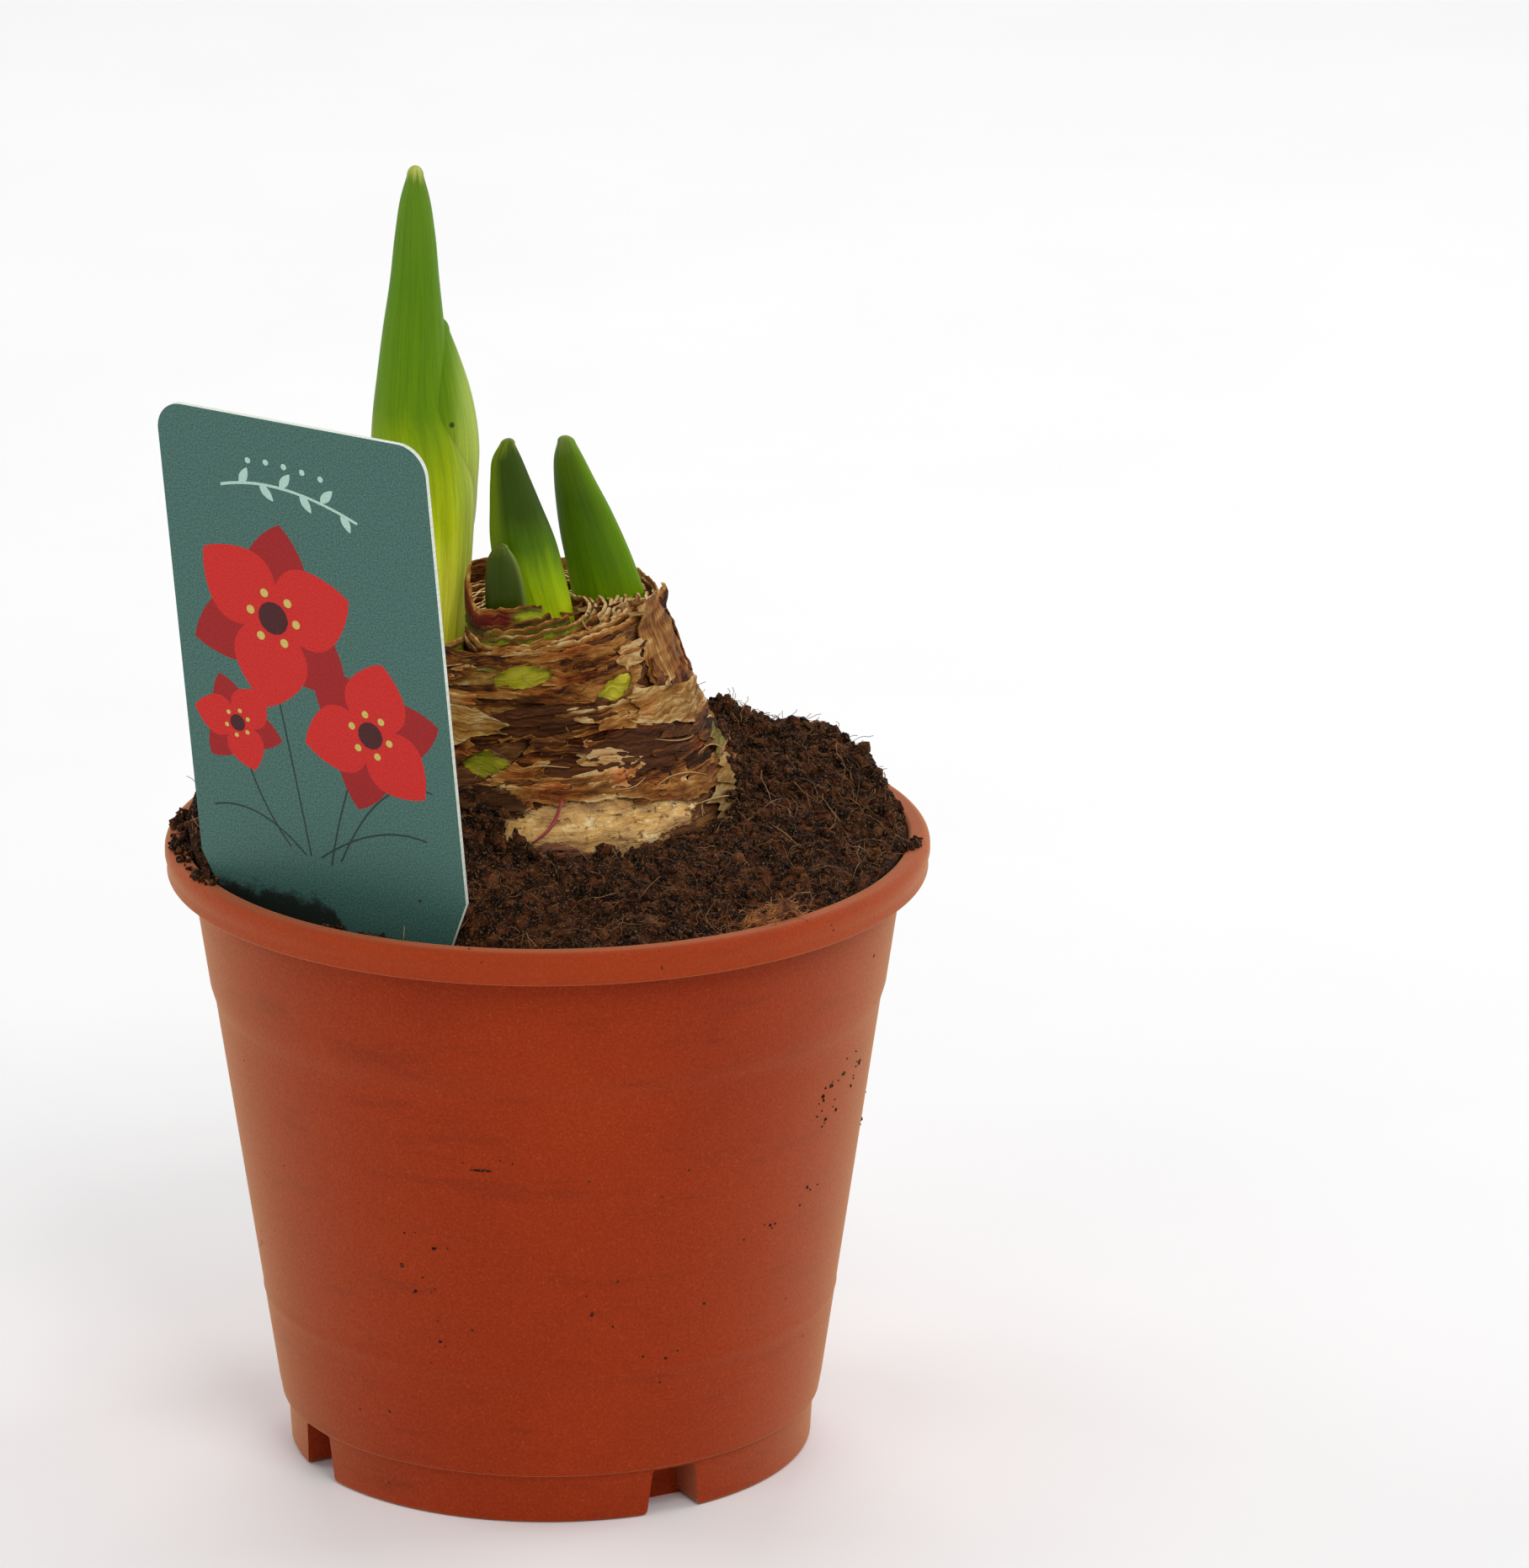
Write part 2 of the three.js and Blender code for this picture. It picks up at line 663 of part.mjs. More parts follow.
// Peat
function peatHeight(x, y) {
  const angle = Math.atan2(y, x);
  const fromPot = Math.hypot(x, y);
  const fromBulb = Math.hypot(x - BULB_AXIS[0], y - BULB_AXIS[1]);
  const alongBank = (angle - radians(PEAT_BANK.angle)) / radians(PEAT_BANK.spread);
  const bank = PEAT_BANK.rise * Math.exp(-(alongBank ** 2));
  const rim = PEAT_RIM_LEVEL + PEAT_RIM_SLOPE * Math.sin(angle) + bank;
  const bulb = PEAT_BULB_LEVEL + PEAT_BULB_SLOPE * Math.sin(angle);
  const pastBulb = fromBulb - BULB_SHOULDER;
  const share = smoothstep(pastBulb / (pastBulb + Math.max(RIM_INNER_RADIUS - fromPot, 0.1)), 0, 1);
  const clods = PEAT_CLODS.reduce((sum, clod) => {
    const away = Math.hypot(x - clod.x, y - clod.y) / clod.spread;
    return sum + clod.rise * Math.exp(-(away ** 2));
  }, 0);
  const lumps = LUMPS.reduce((sum, [size, rise], seed) => sum + rise * noise(x / size, y / size, seed), 0);
  const slump = smoothstep(fromPot, RIM_INNER_RADIUS - 4, RIM_INNER_RADIUS - 0.5);
  const level = mix(bulb, rim, share) + clods + lumps;
  const settled = mix(level, Math.min(level, POT_HEIGHT + 0.6 + 0.5 * lumps), slump);
  return mix(settled, PEAT_BEFORE_LABEL + 0.4 * lumps, smoothstep(beyondLabel(x, y), ...LABEL_HOLLOW));
}

// How far a point of the peat's surface lies in front of the label, towards the rim
function beyondLabel(x, y) {
  const turn = radians(LABEL_TURN);
  const [fromX, fromY] = [x - LABEL_ANCHOR[0], y - LABEL_ANCHOR[1]];
  return fromX * Math.sin(turn) - fromY * Math.cos(turn);
}

function makePeat() {
  const outside = RIM_INNER_RADIUS + 1.5;
  const circle = (radius, heightAt) =>
    ringOf(PEAT_SIDES, (angle) => {
      const [x, y] = [radius * Math.cos(angle), radius * Math.sin(angle)];
      return new THREE.Vector3(x, y, heightAt(x, y));
    });
  const rings = [circle(outside, () => -1)];
  for (let radius = outside; radius > PEAT_RING_STEP; radius -= PEAT_RING_STEP) {
    rings.push(circle(radius, peatHeight));
  }
  const heap = toSolid(loft(rings, new THREE.Vector3(0, 0, -2), new THREE.Vector3(0, 0, PEAT_BULB_LEVEL)));
  const mouth = [
    [RIM_INNER_RADIUS - GAP, POT_HEIGHT - 1],
    [RIM_INNER_RADIUS - GAP, PEAT_BULB_LEVEL + 20],
    [0, PEAT_BULB_LEVEL + 20],
  ];
  const space = toSolid(turned([...innerProfile(GAP), ...mouth], POT_SIDES));
  const housings = joined(POCKET_ANGLES.map((angle) => drainPocket(angle, WALL + GAP, RIM_RADIUS)));
  const tunics = joined(Object.values(TUNICS).map(tunic));
  const planted = heap.intersect(space).subtract(housings).subtract(bulbWithRoots(GAP));
  return largestBody(planted.subtract(labelSolid(GAP)).subtract(tunics));
}

// Assembly
const plant = new THREE.Group();

function place(name, solid, color, roughness) {
  const material = new THREE.MeshStandardMaterial({ color, roughness, metalness: 0 });
  const mesh = new THREE.Mesh(toGeometry(solid), material);
  mesh.name = name;
  plant.add(mesh);
}

place("pot", makePot(), 0xa8512f, 0.5);
place("peat", makePeat(), 0x33201a, 0.95);
place("bulb", makeBulb(), 0xc9a468, 0.6);
for (const [name, piece] of Object.entries(TUNICS)) place(name, tunic(piece), 0x8a5f3a, 0.75);
place("flower_shoot", shootSolid(0), 0x8fae2b, 0.4);
place("leaf_middle", leafSolid(LEAF_MIDDLE, 0), 0x4f7a1c, 0.4);
place("leaf_right", leafSolid(LEAF_RIGHT, 0), 0x4f7d1c, 0.4);
place("leaf_small", leafSolid(LEAF_SMALL, 0), 0x44601c, 0.4);
place("plant_label", labelSolid(0), 0x4f7f78, 0.35);

export default plant;
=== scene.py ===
import math

import bpy
import numpy as np
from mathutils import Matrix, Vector, geometry, noise


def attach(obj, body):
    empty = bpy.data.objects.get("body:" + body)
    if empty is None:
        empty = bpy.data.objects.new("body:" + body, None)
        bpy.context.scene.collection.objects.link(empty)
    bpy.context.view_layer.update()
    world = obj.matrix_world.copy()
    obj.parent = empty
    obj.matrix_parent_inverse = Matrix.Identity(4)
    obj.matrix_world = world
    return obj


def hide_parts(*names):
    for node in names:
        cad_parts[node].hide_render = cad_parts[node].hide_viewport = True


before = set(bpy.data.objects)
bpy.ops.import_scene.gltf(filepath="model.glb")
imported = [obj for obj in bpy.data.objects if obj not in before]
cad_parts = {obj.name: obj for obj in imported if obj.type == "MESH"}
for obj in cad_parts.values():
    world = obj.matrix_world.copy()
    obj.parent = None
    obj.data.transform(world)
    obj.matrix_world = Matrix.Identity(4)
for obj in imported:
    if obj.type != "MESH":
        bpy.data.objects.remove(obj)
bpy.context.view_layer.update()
MM = 0.001

# Stage and camera
# A pale floor runs back into a white surround, and large soft lamps stand round it as in a product studio.
# The camera stands about two metres off and looks a little down on the pot.
CAMERA_ELEVATION = math.radians(19.6)
CAMERA_DISTANCE = 2.0
CAMERA_TARGET = Vector((0, 0, 0.055))
PHOTO_WIDTH, PHOTO_HEIGHT = 1816, 1862
TARGET_PIXEL = (650, 1335)
PIXELS_PER_METRE = 6985
SENSOR = 36.0
FLOOR_SIDE = 8.0
LAMP_TARGET = Vector((0, 0, 0.1))
SURROUND_STRENGTH = 0.42

camera_up = Vector((0, math.sin(CAMERA_ELEVATION), math.cos(CAMERA_ELEVATION)))
camera_back = Vector((0, -math.cos(CAMERA_ELEVATION), math.sin(CAMERA_ELEVATION)))
camera_aim = CAMERA_TARGET + Vector(((PHOTO_WIDTH / 2 - TARGET_PIXEL[0]) / PIXELS_PER_METRE, 0, 0))
camera_aim += camera_up * ((TARGET_PIXEL[1] - PHOTO_HEIGHT / 2) / PIXELS_PER_METRE)
camera = bpy.data.objects.new("camera", bpy.data.cameras.new("camera"))
bpy.context.scene.collection.objects.link(camera)
camera.location = CAMERA_TARGET + camera_back * CAMERA_DISTANCE
camera.rotation_euler = (camera_aim - camera.location).to_track_quat("-Z", "Y").to_euler()
camera.data.sensor_width = SENSOR
camera.data.lens = SENSOR * CAMERA_DISTANCE * PIXELS_PER_METRE / PHOTO_HEIGHT
camera.data.clip_end = 20
bpy.context.scene.camera = camera
bpy.context.scene.view_settings.view_transform = "Standard"


def srgb(red, green, blue):
    """A colour as a paint chart gives it, 0 to 255, in the renderer's linear values."""
    parts = [value / 255 for value in (red, green, blue)]
    return (*[p / 12.92 if p <= 0.04045 else ((p + 0.055) / 1.055) ** 2.4 for p in parts], 1.0)


def lamp(name, place, size, power):
    """A square soft lamp that faces the middle of the plant, with its size in metres and power in watts."""
    light = bpy.data.objects.new(name, bpy.data.lights.new(name, "AREA"))
    light.data.size = size
    light.data.energy = power
    light.location = place
    light.rotation_euler = (LAMP_TARGET - light.location).to_track_quat("-Z", "Y").to_euler()
    bpy.context.scene.collection.objects.link(light)


lamp("key_lamp", (0.45, -1.1, 1.3), 0.7, 9.5)
lamp("fill_lamp", (-0.9, -1.0, 0.6), 0.9, 2.5)
lamp("left_edge_lamp", (-1.1, 0.35, 0.6), 0.7, 3.6)
lamp("right_edge_lamp", (1.1, 0.4, 0.6), 0.7, 5.6)
lamp("back_lamp", (0.0, 1.2, 1.0), 0.9, 6)

surround = bpy.data.worlds.new("surround")
surround.use_nodes = True
surround.node_tree.nodes["Background"].inputs["Color"].default_value = (1, 1, 1, 1)
surround.node_tree.nodes["Background"].inputs["Strength"].default_value = SURROUND_STRENGTH
bpy.context.scene.world = surround


def add(tree, kind, values=None, **settings):
    """One node. Values go to its enabled sockets, by name or number, and another node's socket is linked."""
    node = tree.nodes.new(kind)
    for name, value in settings.items():
        setattr(node, name, value)
    for name, value in (values or {}).items():
        if isinstance(name, int):
            socket = node.inputs[name]
        else:
            socket = next(s for s in node.inputs if s.enabled and s.name == name)
        if isinstance(value, bpy.types.NodeSocket):
            tree.links.new(value, socket)
        else:
            socket.default_value = value
    return node


def out(node, name=None):
    """A node's first working output, or the one of that name."""
    return next(s for s in node.outputs if s.enabled and name in (None, s.name))


def mixed(tree, share, first, second, blend="MIX"):
    """Two colours mixed, each given by a node or as a paint chart gives it."""
    node = add(tree, "ShaderNodeMix", data_type="RGBA", blend_type=blend)
    for socket, value in zip([s for s in node.inputs if s.enabled], (share, first, second)):
        if isinstance(value, bpy.types.NodeSocket):
            tree.links.new(value, socket)
        else:
            socket.default_value = srgb(*value) if isinstance(value, tuple) else value
    return out(node)


def scaled(tree, vector, factor):
    return out(add(tree, "ShaderNodeVectorMath", {0: vector, "Scale": factor}, operation="SCALE"))


def ramp(tree, value, low, high):
    """0 below low, 1 above high, and a smooth step between."""
    spread = {"Value": value, "From Min": low, "From Max": high}
    return out(add(tree, "ShaderNodeMapRange", spread, interpolation_type="SMOOTHSTEP"))


def texture(tree, place, size, detail=3.0, rough=0.55, stretch=(1, 1, 1)):
    """Cloudy noise whose clouds are about size across, in the unit of place, and stretched along its axes."""
    moved = add(tree, "ShaderNodeMapping", {"Vector": place, "Scale": [1 / (size * s) for s in stretch]})
    values = {"Vector": out(moved), "Scale": 1.0, "Detail": detail, "Roughness": rough}
    return out(add(tree, "ShaderNodeTexNoise", values))


def new_finish(name, roughness, shine=0.5):
    """A material, with its shader and its place in millimetres on the object."""
    finish = bpy.data.materials.new(name)
    finish.use_nodes = True
    tree = finish.node_tree
    shader = tree.nodes["Principled BSDF"]
    shader.inputs["Roughness"].default_value = roughness
    shader.inputs["Specular IOR Level"].default_value = shine
    return finish, tree, shader, scaled(tree, out(add(tree, "ShaderNodeTexCoord"), "Object"), 1 / MM)


def paint(tree, shader, colour):
    tree.links.new(colour, shader.inputs["Base Color"])


def two_tone_finish(name, roughness, dark, light, size, detail=3.0, crisp=None):
    """A plain finish of two tones in clouds of a size, crisp between the two values if they are given."""
    finish, tree, shader, place = new_finish(name, roughness)
    share = texture(tree, place, size, detail)
    paint(tree, shader, mixed(tree, ramp(tree, share, *crisp) if crisp else share, dark, light))
    return finish


def new_piece(name, points, faces, finishes, sharp=40):
    """An object from points in millimetres. Edges that turn by more than sharp degrees stay crisp."""
    mesh = bpy.data.meshes.new(name)
    mesh.from_pydata((np.asarray(points, float) * MM).tolist(), [], faces)
    for finish in finishes:
        mesh.materials.append(finish)
    mesh.shade_smooth()
    mesh.set_sharp_from_angle(angle=math.radians(sharp))
    piece = bpy.data.objects.new(name, mesh)
    bpy.context.scene.collection.objects.link(piece)
    return piece


floor_finish = two_tone_finish("floor_paint", 0.7, (243, 243, 243), (249, 249, 249), 90.0)
half = FLOOR_SIDE / 2 / MM
corners = [(-half, -half, 0), (half, -half, 0), (half, half, 0), (-half, half, 0)]
floor = new_piece("floor", corners, [(0, 1, 2, 3)], [floor_finish])

# Pot
# A nursery pot, moulded in one shot from thin orange-brown plastic: a tapered wall with a small stacking
# shoulder, a rolled rim with a skirt, and a foot with four drain pockets, each with a hole in its roof.
POT_HEIGHT = 107.5
RIM_RADIUS = 64.5
RIM_SKIRT = 5.6
RIM_INNER_RADIUS = 60.8
WALL = 1.2
POT_FLOOR = 1.5
FOOT_RADIUS = 44.4
FOOT_HEIGHT = 8.6
CONE_START_RADIUS = 45.9
CONE_SLOPE = 0.147
SHOULDER_HEIGHT = 80.0
SHOULDER_STEP = 0.45
MOULD_RING_HEIGHT = 28.0
POCKET_ANGLES = (-62.5, 28, 118, 208)
POCKET_HALF_WIDTH = 4.8
POCKET_TAPER = 0.7
POCKET_HEIGHT = 8.2
POCKET_INNER_RADIUS = 36.8
POCKET_FLARE = 1.3
DRAIN_RADIUS = 2.6
HOUSING_REACH = 43.6
CUTTER_REACH = 60.0
POT_SIDES = 288
POT_CREASE = 32


def cone_radius(height):
    return CONE_START_RADIUS + CONE_SLOPE * (height - FOOT_HEIGHT)


def joined(*values):
    """Arrays side by side along a last axis, such as points from their x, y and z."""
    return np.stack(np.broadcast_arrays(*values), axis=-1)


def arc(centre, radius, start, end, steps=6):
    """Points of an arc, its ends given in degrees."""
    turns = np.radians(np.linspace(start, end, steps + 1))
    return [(centre[0] + radius * math.cos(t), centre[1] + radius * math.sin(t)) for t in turns]


def grid_faces(rows, columns, closed):
    """Quads between the rings of a grid, ring after ring, joined round when it is closed."""
    faces = []
    for row in range(rows - 1):
        for column in range(columns if closed else columns - 1):
            a, b = row * columns + column, row * columns + (column + 1) % columns
            faces.append((a, b, b + columns, a + columns))
    return faces


def lofted(rings, bottom, top):
    """Points and faces of a closed body through rings of points, from its bottom point to its top one."""
    rings = np.asarray(rings, float)
    rows, sides = rings.shape[:2]
    points = np.vstack([rings.reshape(-1, 3), [bottom], [top]])
    faces = grid_faces(rows, sides, True)
    last = (rows - 1) * sides
    for side in range(sides):
        following = (side + 1) % sides
        faces.append((following, side, rows * sides))
        faces.append((last + side, last + following, rows * sides + 1))
    return points, faces


def circle_angles(sides):
    return np.linspace(0, 2 * math.pi, sides, endpoint=False)


def turned(profile, sides):
    """Points and faces of a profile turned round the Z axis, from the axis and back to it."""
    angles = circle_angles(sides)
    circle = joined(np.cos(angles), np.sin(angles))
    rings = [np.column_stack([circle * r, np.full(sides, z)]) for r, z in profile[1:-1]]
    return lofted(rings, (0, 0, profile[0][1]), (0, 0, profile[-1][1]))


def prism(outline, angle, start, end):
    """A bar with an outline across and up, that runs outwards from the pot's axis at an angle in degrees."""
    turn = math.radians(angle)
    outwards = np.array([math.cos(turn), math.sin(turn), 0])
    across = np.array([-math.sin(turn), math.cos(turn), 0])
    flat = np.array([across * x + [0, 0, z] for x, z in outline])
    count = len(outline)
    faces = [(i, (i + 1) % count, count + (i + 1) % count, count + i) for i in range(count)]
    ends = np.vstack([outwards * start + flat, outwards * end + flat])
    return ends, faces + [tuple(range(count))[::-1], tuple(range(count, 2 * count))]


def evaluated_mesh(piece):
    return bpy.data.meshes.new_from_object(piece.evaluated_get(bpy.context.evaluated_depsgraph_get()))


def carve(piece, cutters, operation):
    """Joins the cutters to a piece, or cuts them out of it."""
    for points, faces in cutters:
        cutter = new_piece("cutter", points, faces, [])
        modifier = piece.modifiers.new("carve", "BOOLEAN")
        modifier.operation = operation
        modifier.solver = "EXACT"
        modifier.object = cutter
        carved = evaluated_mesh(piece)
        piece.modifiers.remove(modifier)
        piece.data = carved
        bpy.data.objects.remove(cutter)


def wall_rows(low, high, count, step=0.0):
    """Radius and height down the outside of the pot's wall, between two heights."""
    return [(cone_radius(level) + step, level) for level in np.linspace(low, high, count)]


shoulder_top = SHOULDER_HEIGHT + 3
skirt_foot = POT_HEIGHT - RIM_SKIRT
pot_outside = [(0, 0), *arc((FOOT_RADIUS - 0.8, 0.8), 0.8, -90, 0), (FOOT_RADIUS + 0.45, FOOT_HEIGHT - 0.4)]
pot_outside += [(FOOT_RADIUS + 0.6, FOOT_HEIGHT)]
pot_outside += arc((CONE_START_RADIUS - 0.5, FOOT_HEIGHT + 0.7), 0.5, -90, 0)
pot_outside += wall_rows(12, MOULD_RING_HEIGHT - 0.5, 8)
pot_outside += [(cone_radius(MOULD_RING_HEIGHT) + 0.12, MOULD_RING_HEIGHT)]
pot_outside += wall_rows(MOULD_RING_HEIGHT + 0.8, SHOULDER_HEIGHT - 0.4, 22)
pot_outside += [(cone_radius(SHOULDER_HEIGHT) + 0.06, SHOULDER_HEIGHT)]
pot_outside += wall_rows(shoulder_top - 0.5, POT_HEIGHT - 3.4, 10, SHOULDER_STEP)
pot_rim = [(RIM_RADIUS - 2.4, POT_HEIGHT - 3.0), (RIM_RADIUS - 1.7, POT_HEIGHT - 3.6)]
pot_rim += [(RIM_RADIUS - 1.6, skirt_foot + 0.3)]
pot_rim += arc((RIM_RADIUS - 0.75, skirt_foot + 0.45), 0.45, -170, -10)
pot_rim += [(RIM_RADIUS - 0.42, skirt_foot + 1.3), (RIM_RADIUS - 0.2, skirt_foot + 2.4)]
pot_rim += [(RIM_RADIUS, POT_HEIGHT - 2.4)]
pot_rim += arc((RIM_RADIUS - 1.6, POT_HEIGHT - 1.6), 1.6, 0, 90, 8)
pot_rim += [(RIM_INNER_RADIUS + 0.9, POT_HEIGHT - 0.02)]
pot_rim += arc((RIM_INNER_RADIUS + 0.7, POT_HEIGHT - 0.7), 0.7, 90, 180)
pot_inside = [
    (RIM_INNER_RADIUS - 0.5, POT_HEIGHT - 2.6),
    (cone_radius(POT_HEIGHT - 5) - WALL, POT_HEIGHT - 5),
    (cone_radius(shoulder_top) + SHOULDER_STEP - WALL, shoulder_top),
    (cone_radius(SHOULDER_HEIGHT) - WALL, SHOULDER_HEIGHT),
    (FOOT_RADIUS + 0.5 - WALL, FOOT_HEIGHT),
    (FOOT_RADIUS - WALL, POT_FLOOR + 0.6),
    (FOOT_RADIUS - WALL - 0.6, POT_FLOOR),
    (0, POT_FLOOR),
]
pocket_top = POCKET_HALF_WIDTH - POCKET_TAPER
pocket_half = [(POCKET_HALF_WIDTH + POCKET_FLARE, -2)]
pocket_half += arc((POCKET_HALF_WIDTH + POCKET_FLARE, POCKET_FLARE), POCKET_FLARE, 270, 180)
pocket_half += arc((pocket_top - 0.7, POCKET_HEIGHT - 0.7), 0.7, 5, 90)
pocket_outline = pocket_half + [(-x, z) for x, z in pocket_half[::-1]]
housing_half = POCKET_HALF_WIDTH + WALL
housing_outline = [(housing_half, 0.4), (housing_half - POCKET_TAPER, POCKET_HEIGHT + WALL)]
housing_outline += [(-x, z) for x, z in housing_outline[::-1]]
hole_middle = (POCKET_INNER_RADIUS + FOOT_RADIUS - WALL) / 2


def drain_hole(angle):
    """A short upright cutter through the roof of a pocket."""
    turn = math.radians(angle)
    points, faces = turned([(0, 5), (DRAIN_RADIUS, 5), (DRAIN_RADIUS, 12), (0, 12)], 32)
    return points + np.array([hole_middle * math.cos(turn), hole_middle * math.sin(turn), 0]), faces


def math_node(tree, operation, *values):
    return out(add(tree, "ShaderNodeMath", dict(enumerate(values)), operation=operation))


def times(tree, first, second):
    return math_node(tree, "MULTIPLY", first, second)


def vector_math(tree, operation, *values):
    return out(add(tree, "ShaderNodeVectorMath", dict(enumerate(values)), operation=operation))


def layered(tree, colour, *layers):
    """Tones laid over a colour, each given as its mask, its strength and its tone."""
    for mask, strength, tone in layers:
        colour = mixed(tree, mask if strength == 1 else times(tree, mask, strength), colour, tone)
    return colour


def bump(tree, shader, height, depth):
    """Relief of the surface, its depth in millimetres."""
    values = {"Height": height, "Distance": depth * MM, "Strength": 1.0}
    tree.links.new(out(add(tree, "ShaderNodeBump", values)), shader.inputs["Normal"])


def node_group(kind, name, inputs, outputs):
    """An empty node group with its named sockets, and its inputs by name."""
    group = bpy.data.node_groups.new(name, kind)
    for way, sockets in (("INPUT", inputs), ("OUTPUT", outputs)):
        for label, data in sockets.items():
            group.interface.new_socket(name=label, in_out=way, socket_type="NodeSocket" + data)
    given = add(group, "NodeGroupInput")
    return group, {label: out(given, label) for label in inputs}


# The moulded plastic is dull, with a fine mottle, and paler at grazing angles: a painted sheen of its dusty
# skin
def grain_effect():
    """Fine mottling of a surface: a value from 0 to 1 that changes over about Size."""
    inputs = {"Place": "Vector", "Size": "Float"}
    group, given = node_group("ShaderNodeTree", "grain", inputs, {"Value": "Float"})
    scale = math_node(group, "DIVIDE", 1.0, given["Size"])
    values = {"Vector": given["Place"], "Scale": scale, "Detail": 2.0, "Roughness": 0.7}
    speckle = out(add(group, "ShaderNodeTexNoise", values))
    add(group, "NodeGroupOutput", {"Value": ramp(group, speckle, 0.3, 0.7)})
    return group


def specks_effect():
    """Specks of soil that stick to a surface in loose clusters."""
    inputs = {"Place": "Vector", "Spacing": "Float", "Amount": "Float"}
    group, given = node_group("ShaderNodeTree", "soil_specks", inputs, {"Mask": "Float"})
    scale = math_node(group, "DIVIDE", 1.0, given["Spacing"])
    wobble = add(group, "ShaderNodeTexNoise", {"Vector": given["Place"], "Scale": 1.6, "Detail": 2.0})
    moved = vector_math(group, "ADD", out(wobble, "Color"), given["Place"])
    cells = add(group, "ShaderNodeTexVoronoi", {"Vector": moved, "Scale": scale, "Randomness": 1.0})
    patchy = texture(group, given["Place"], 11.0, 2.0)
    size = times(group, ramp(group, patchy, 0.46, 0.72), given["Amount"])
    chance = add(group, "ShaderNodeSeparateColor", {"Color": out(cells, "Color")})
    size = times(group, size, ramp(group, out(chance, "Red"), 0.35, 1.0))
    reach = math_node(group, "SUBTRACT", size, out(cells, "Distance"))
    add(group, "NodeGroupOutput", {"Mask": ramp(group, reach, -0.02, 0.04)})
    return group


def effect(tree, group, **values):
    """An effect placed in a material, with its own values."""
    return out(add(tree, "ShaderNodeGroup", values, node_tree=group))


grain = grain_effect()
soil_specks = specks_effect()
SOIL_STAIN = (52, 33, 22)

pot_plastic, tree, shader, place = new_finish("pot_plastic", 0.5, 0.16)
mottle = effect(tree, grain, Place=place, Size=0.45)
cloudy = texture(tree, place, 30.0, 3.0, 0.55, (1, 1, 1.6))
smears = texture(tree, place, 9.0, 5.0, 0.68, (2.4, 2.4, 0.45))
height = out(add(tree, "ShaderNodeSeparateXYZ", {0: place}), "Z")
sheen_facing = out(add(tree, "ShaderNodeLayerWeight", {"Blend": 0.5}), "Facing")
specks = effect(tree, soil_specks, Place=place, Spacing=2.4, Amount=0.2)
colour = layered(
    tree, mixed(tree, cloudy, (147, 43, 7), (167, 55, 10)),
    (mottle, 0.2, (70, 18, 6)),
    (ramp(tree, smears, 0.52, 0.72), 0.32, (104, 34, 12)),
    (ramp(tree, texture(tree, place, 0.5, 1.0), 0.62, 0.72), 0.12, (206, 112, 62)),
    (ramp(tree, height, POT_HEIGHT - RIM_SKIRT - 0.6, POT_HEIGHT - RIM_SKIRT), 0.4, (172, 68, 30)),
    # Painted sheen: tan mixed in towards grazing angles
    (math_node(tree, "POWER", sheen_facing, 2.6), 0.85, (196, 146, 104)),
    (specks, 1, SOIL_STAIN),
)
paint(tree, shader, colour)
tree.links.new(ramp(tree, mottle, -2.2, 1.6), shader.inputs["Roughness"])
bump(tree, shader, math_node(tree, "ADD", mottle, specks), 0.05)

pot_body = turned(pot_outside + pot_rim + pot_inside, POT_SIDES)
housings = [prism(housing_outline, a, POCKET_INNER_RADIUS - WALL, HOUSING_REACH) for a in POCKET_ANGLES]
pockets = [prism(pocket_outline, a, POCKET_INNER_RADIUS, CUTTER_REACH) for a in POCKET_ANGLES]
pot_shell = new_piece("pot_shell", *pot_body, [pot_plastic], POT_CREASE)
carve(pot_shell, housings, "UNION")
carve(pot_shell, pockets + [drain_hole(a) for a in POCKET_ANGLES], "DIFFERENCE")
pot_shell.data.shade_smooth()
pot_shell.data.set_sharp_from_angle(angle=math.radians(POT_CREASE))
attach(pot_shell, "root")
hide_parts("pot")

# Bulb
# A bulb as wide as two thirds of the pot, its lower half under the peat and its neck cut off flat. Fleshy
# scales show green or cream where the dry skin is torn, and white roots run down from its plate.
BULB_AXIS = (-2.0, 4.0)
NECK_LEAN = -2.0
BULB_PROFILE = [
    (12, 64), (18, 66), (25, 71), (31, 78), (35.4, 87), (37.3, 97), (37.4, 106), (36.9, 112.5),
    (35.8, 116.5), (33.6, 119.6), (31, 122.4), (29, 126), (27, 131), (25.5, 136), (24, 141), (22.7, 145.6),
]
NECK_RADIUS = 22.7
NECK_TOP = 145.6
NECK_TILT = 0.15
FURROWS = 7
PEAT_LINE = 112.0
PER_DEGREE = math.radians(1) * 30
BULB_SIDES = 320
ROOT_COUNT = 9
ROOT_RADIUS = 2.2
ROOT_TOP = 68.0
ROOT_DROP = 38.0
ROOT_START = 7.0
ROOT_SPREAD = 13.0


def smooth(value, low, high):
    share = np.clip((np.asarray(value, float) - low) / (high - low), 0, 1)
    return share * share * (3 - 2 * share)


def lumps(points, size, octaves=4, seed=0.0):
    """Rough noise from about -1 to 1 at each point, with lumps of about size, which may differ by axis."""
    points = np.asarray(points, float)
    moved = (points / np.asarray(size, float) + seed * np.array([1.7, 3.1, 5.3])).reshape(-1, 3)
    values = [noise.fractal(Vector(p), 0.8, 2.1, octaves) for p in moved]
    return np.array(values).reshape(points.shape[:-1])


def wrapped(angle, height, layer=0.0):
    """A place on the bulb's skin, unrolled: along the girth, up, and the layer, in millimetres."""
    return joined(np.degrees(angle) * PER_DEGREE, height, layer)


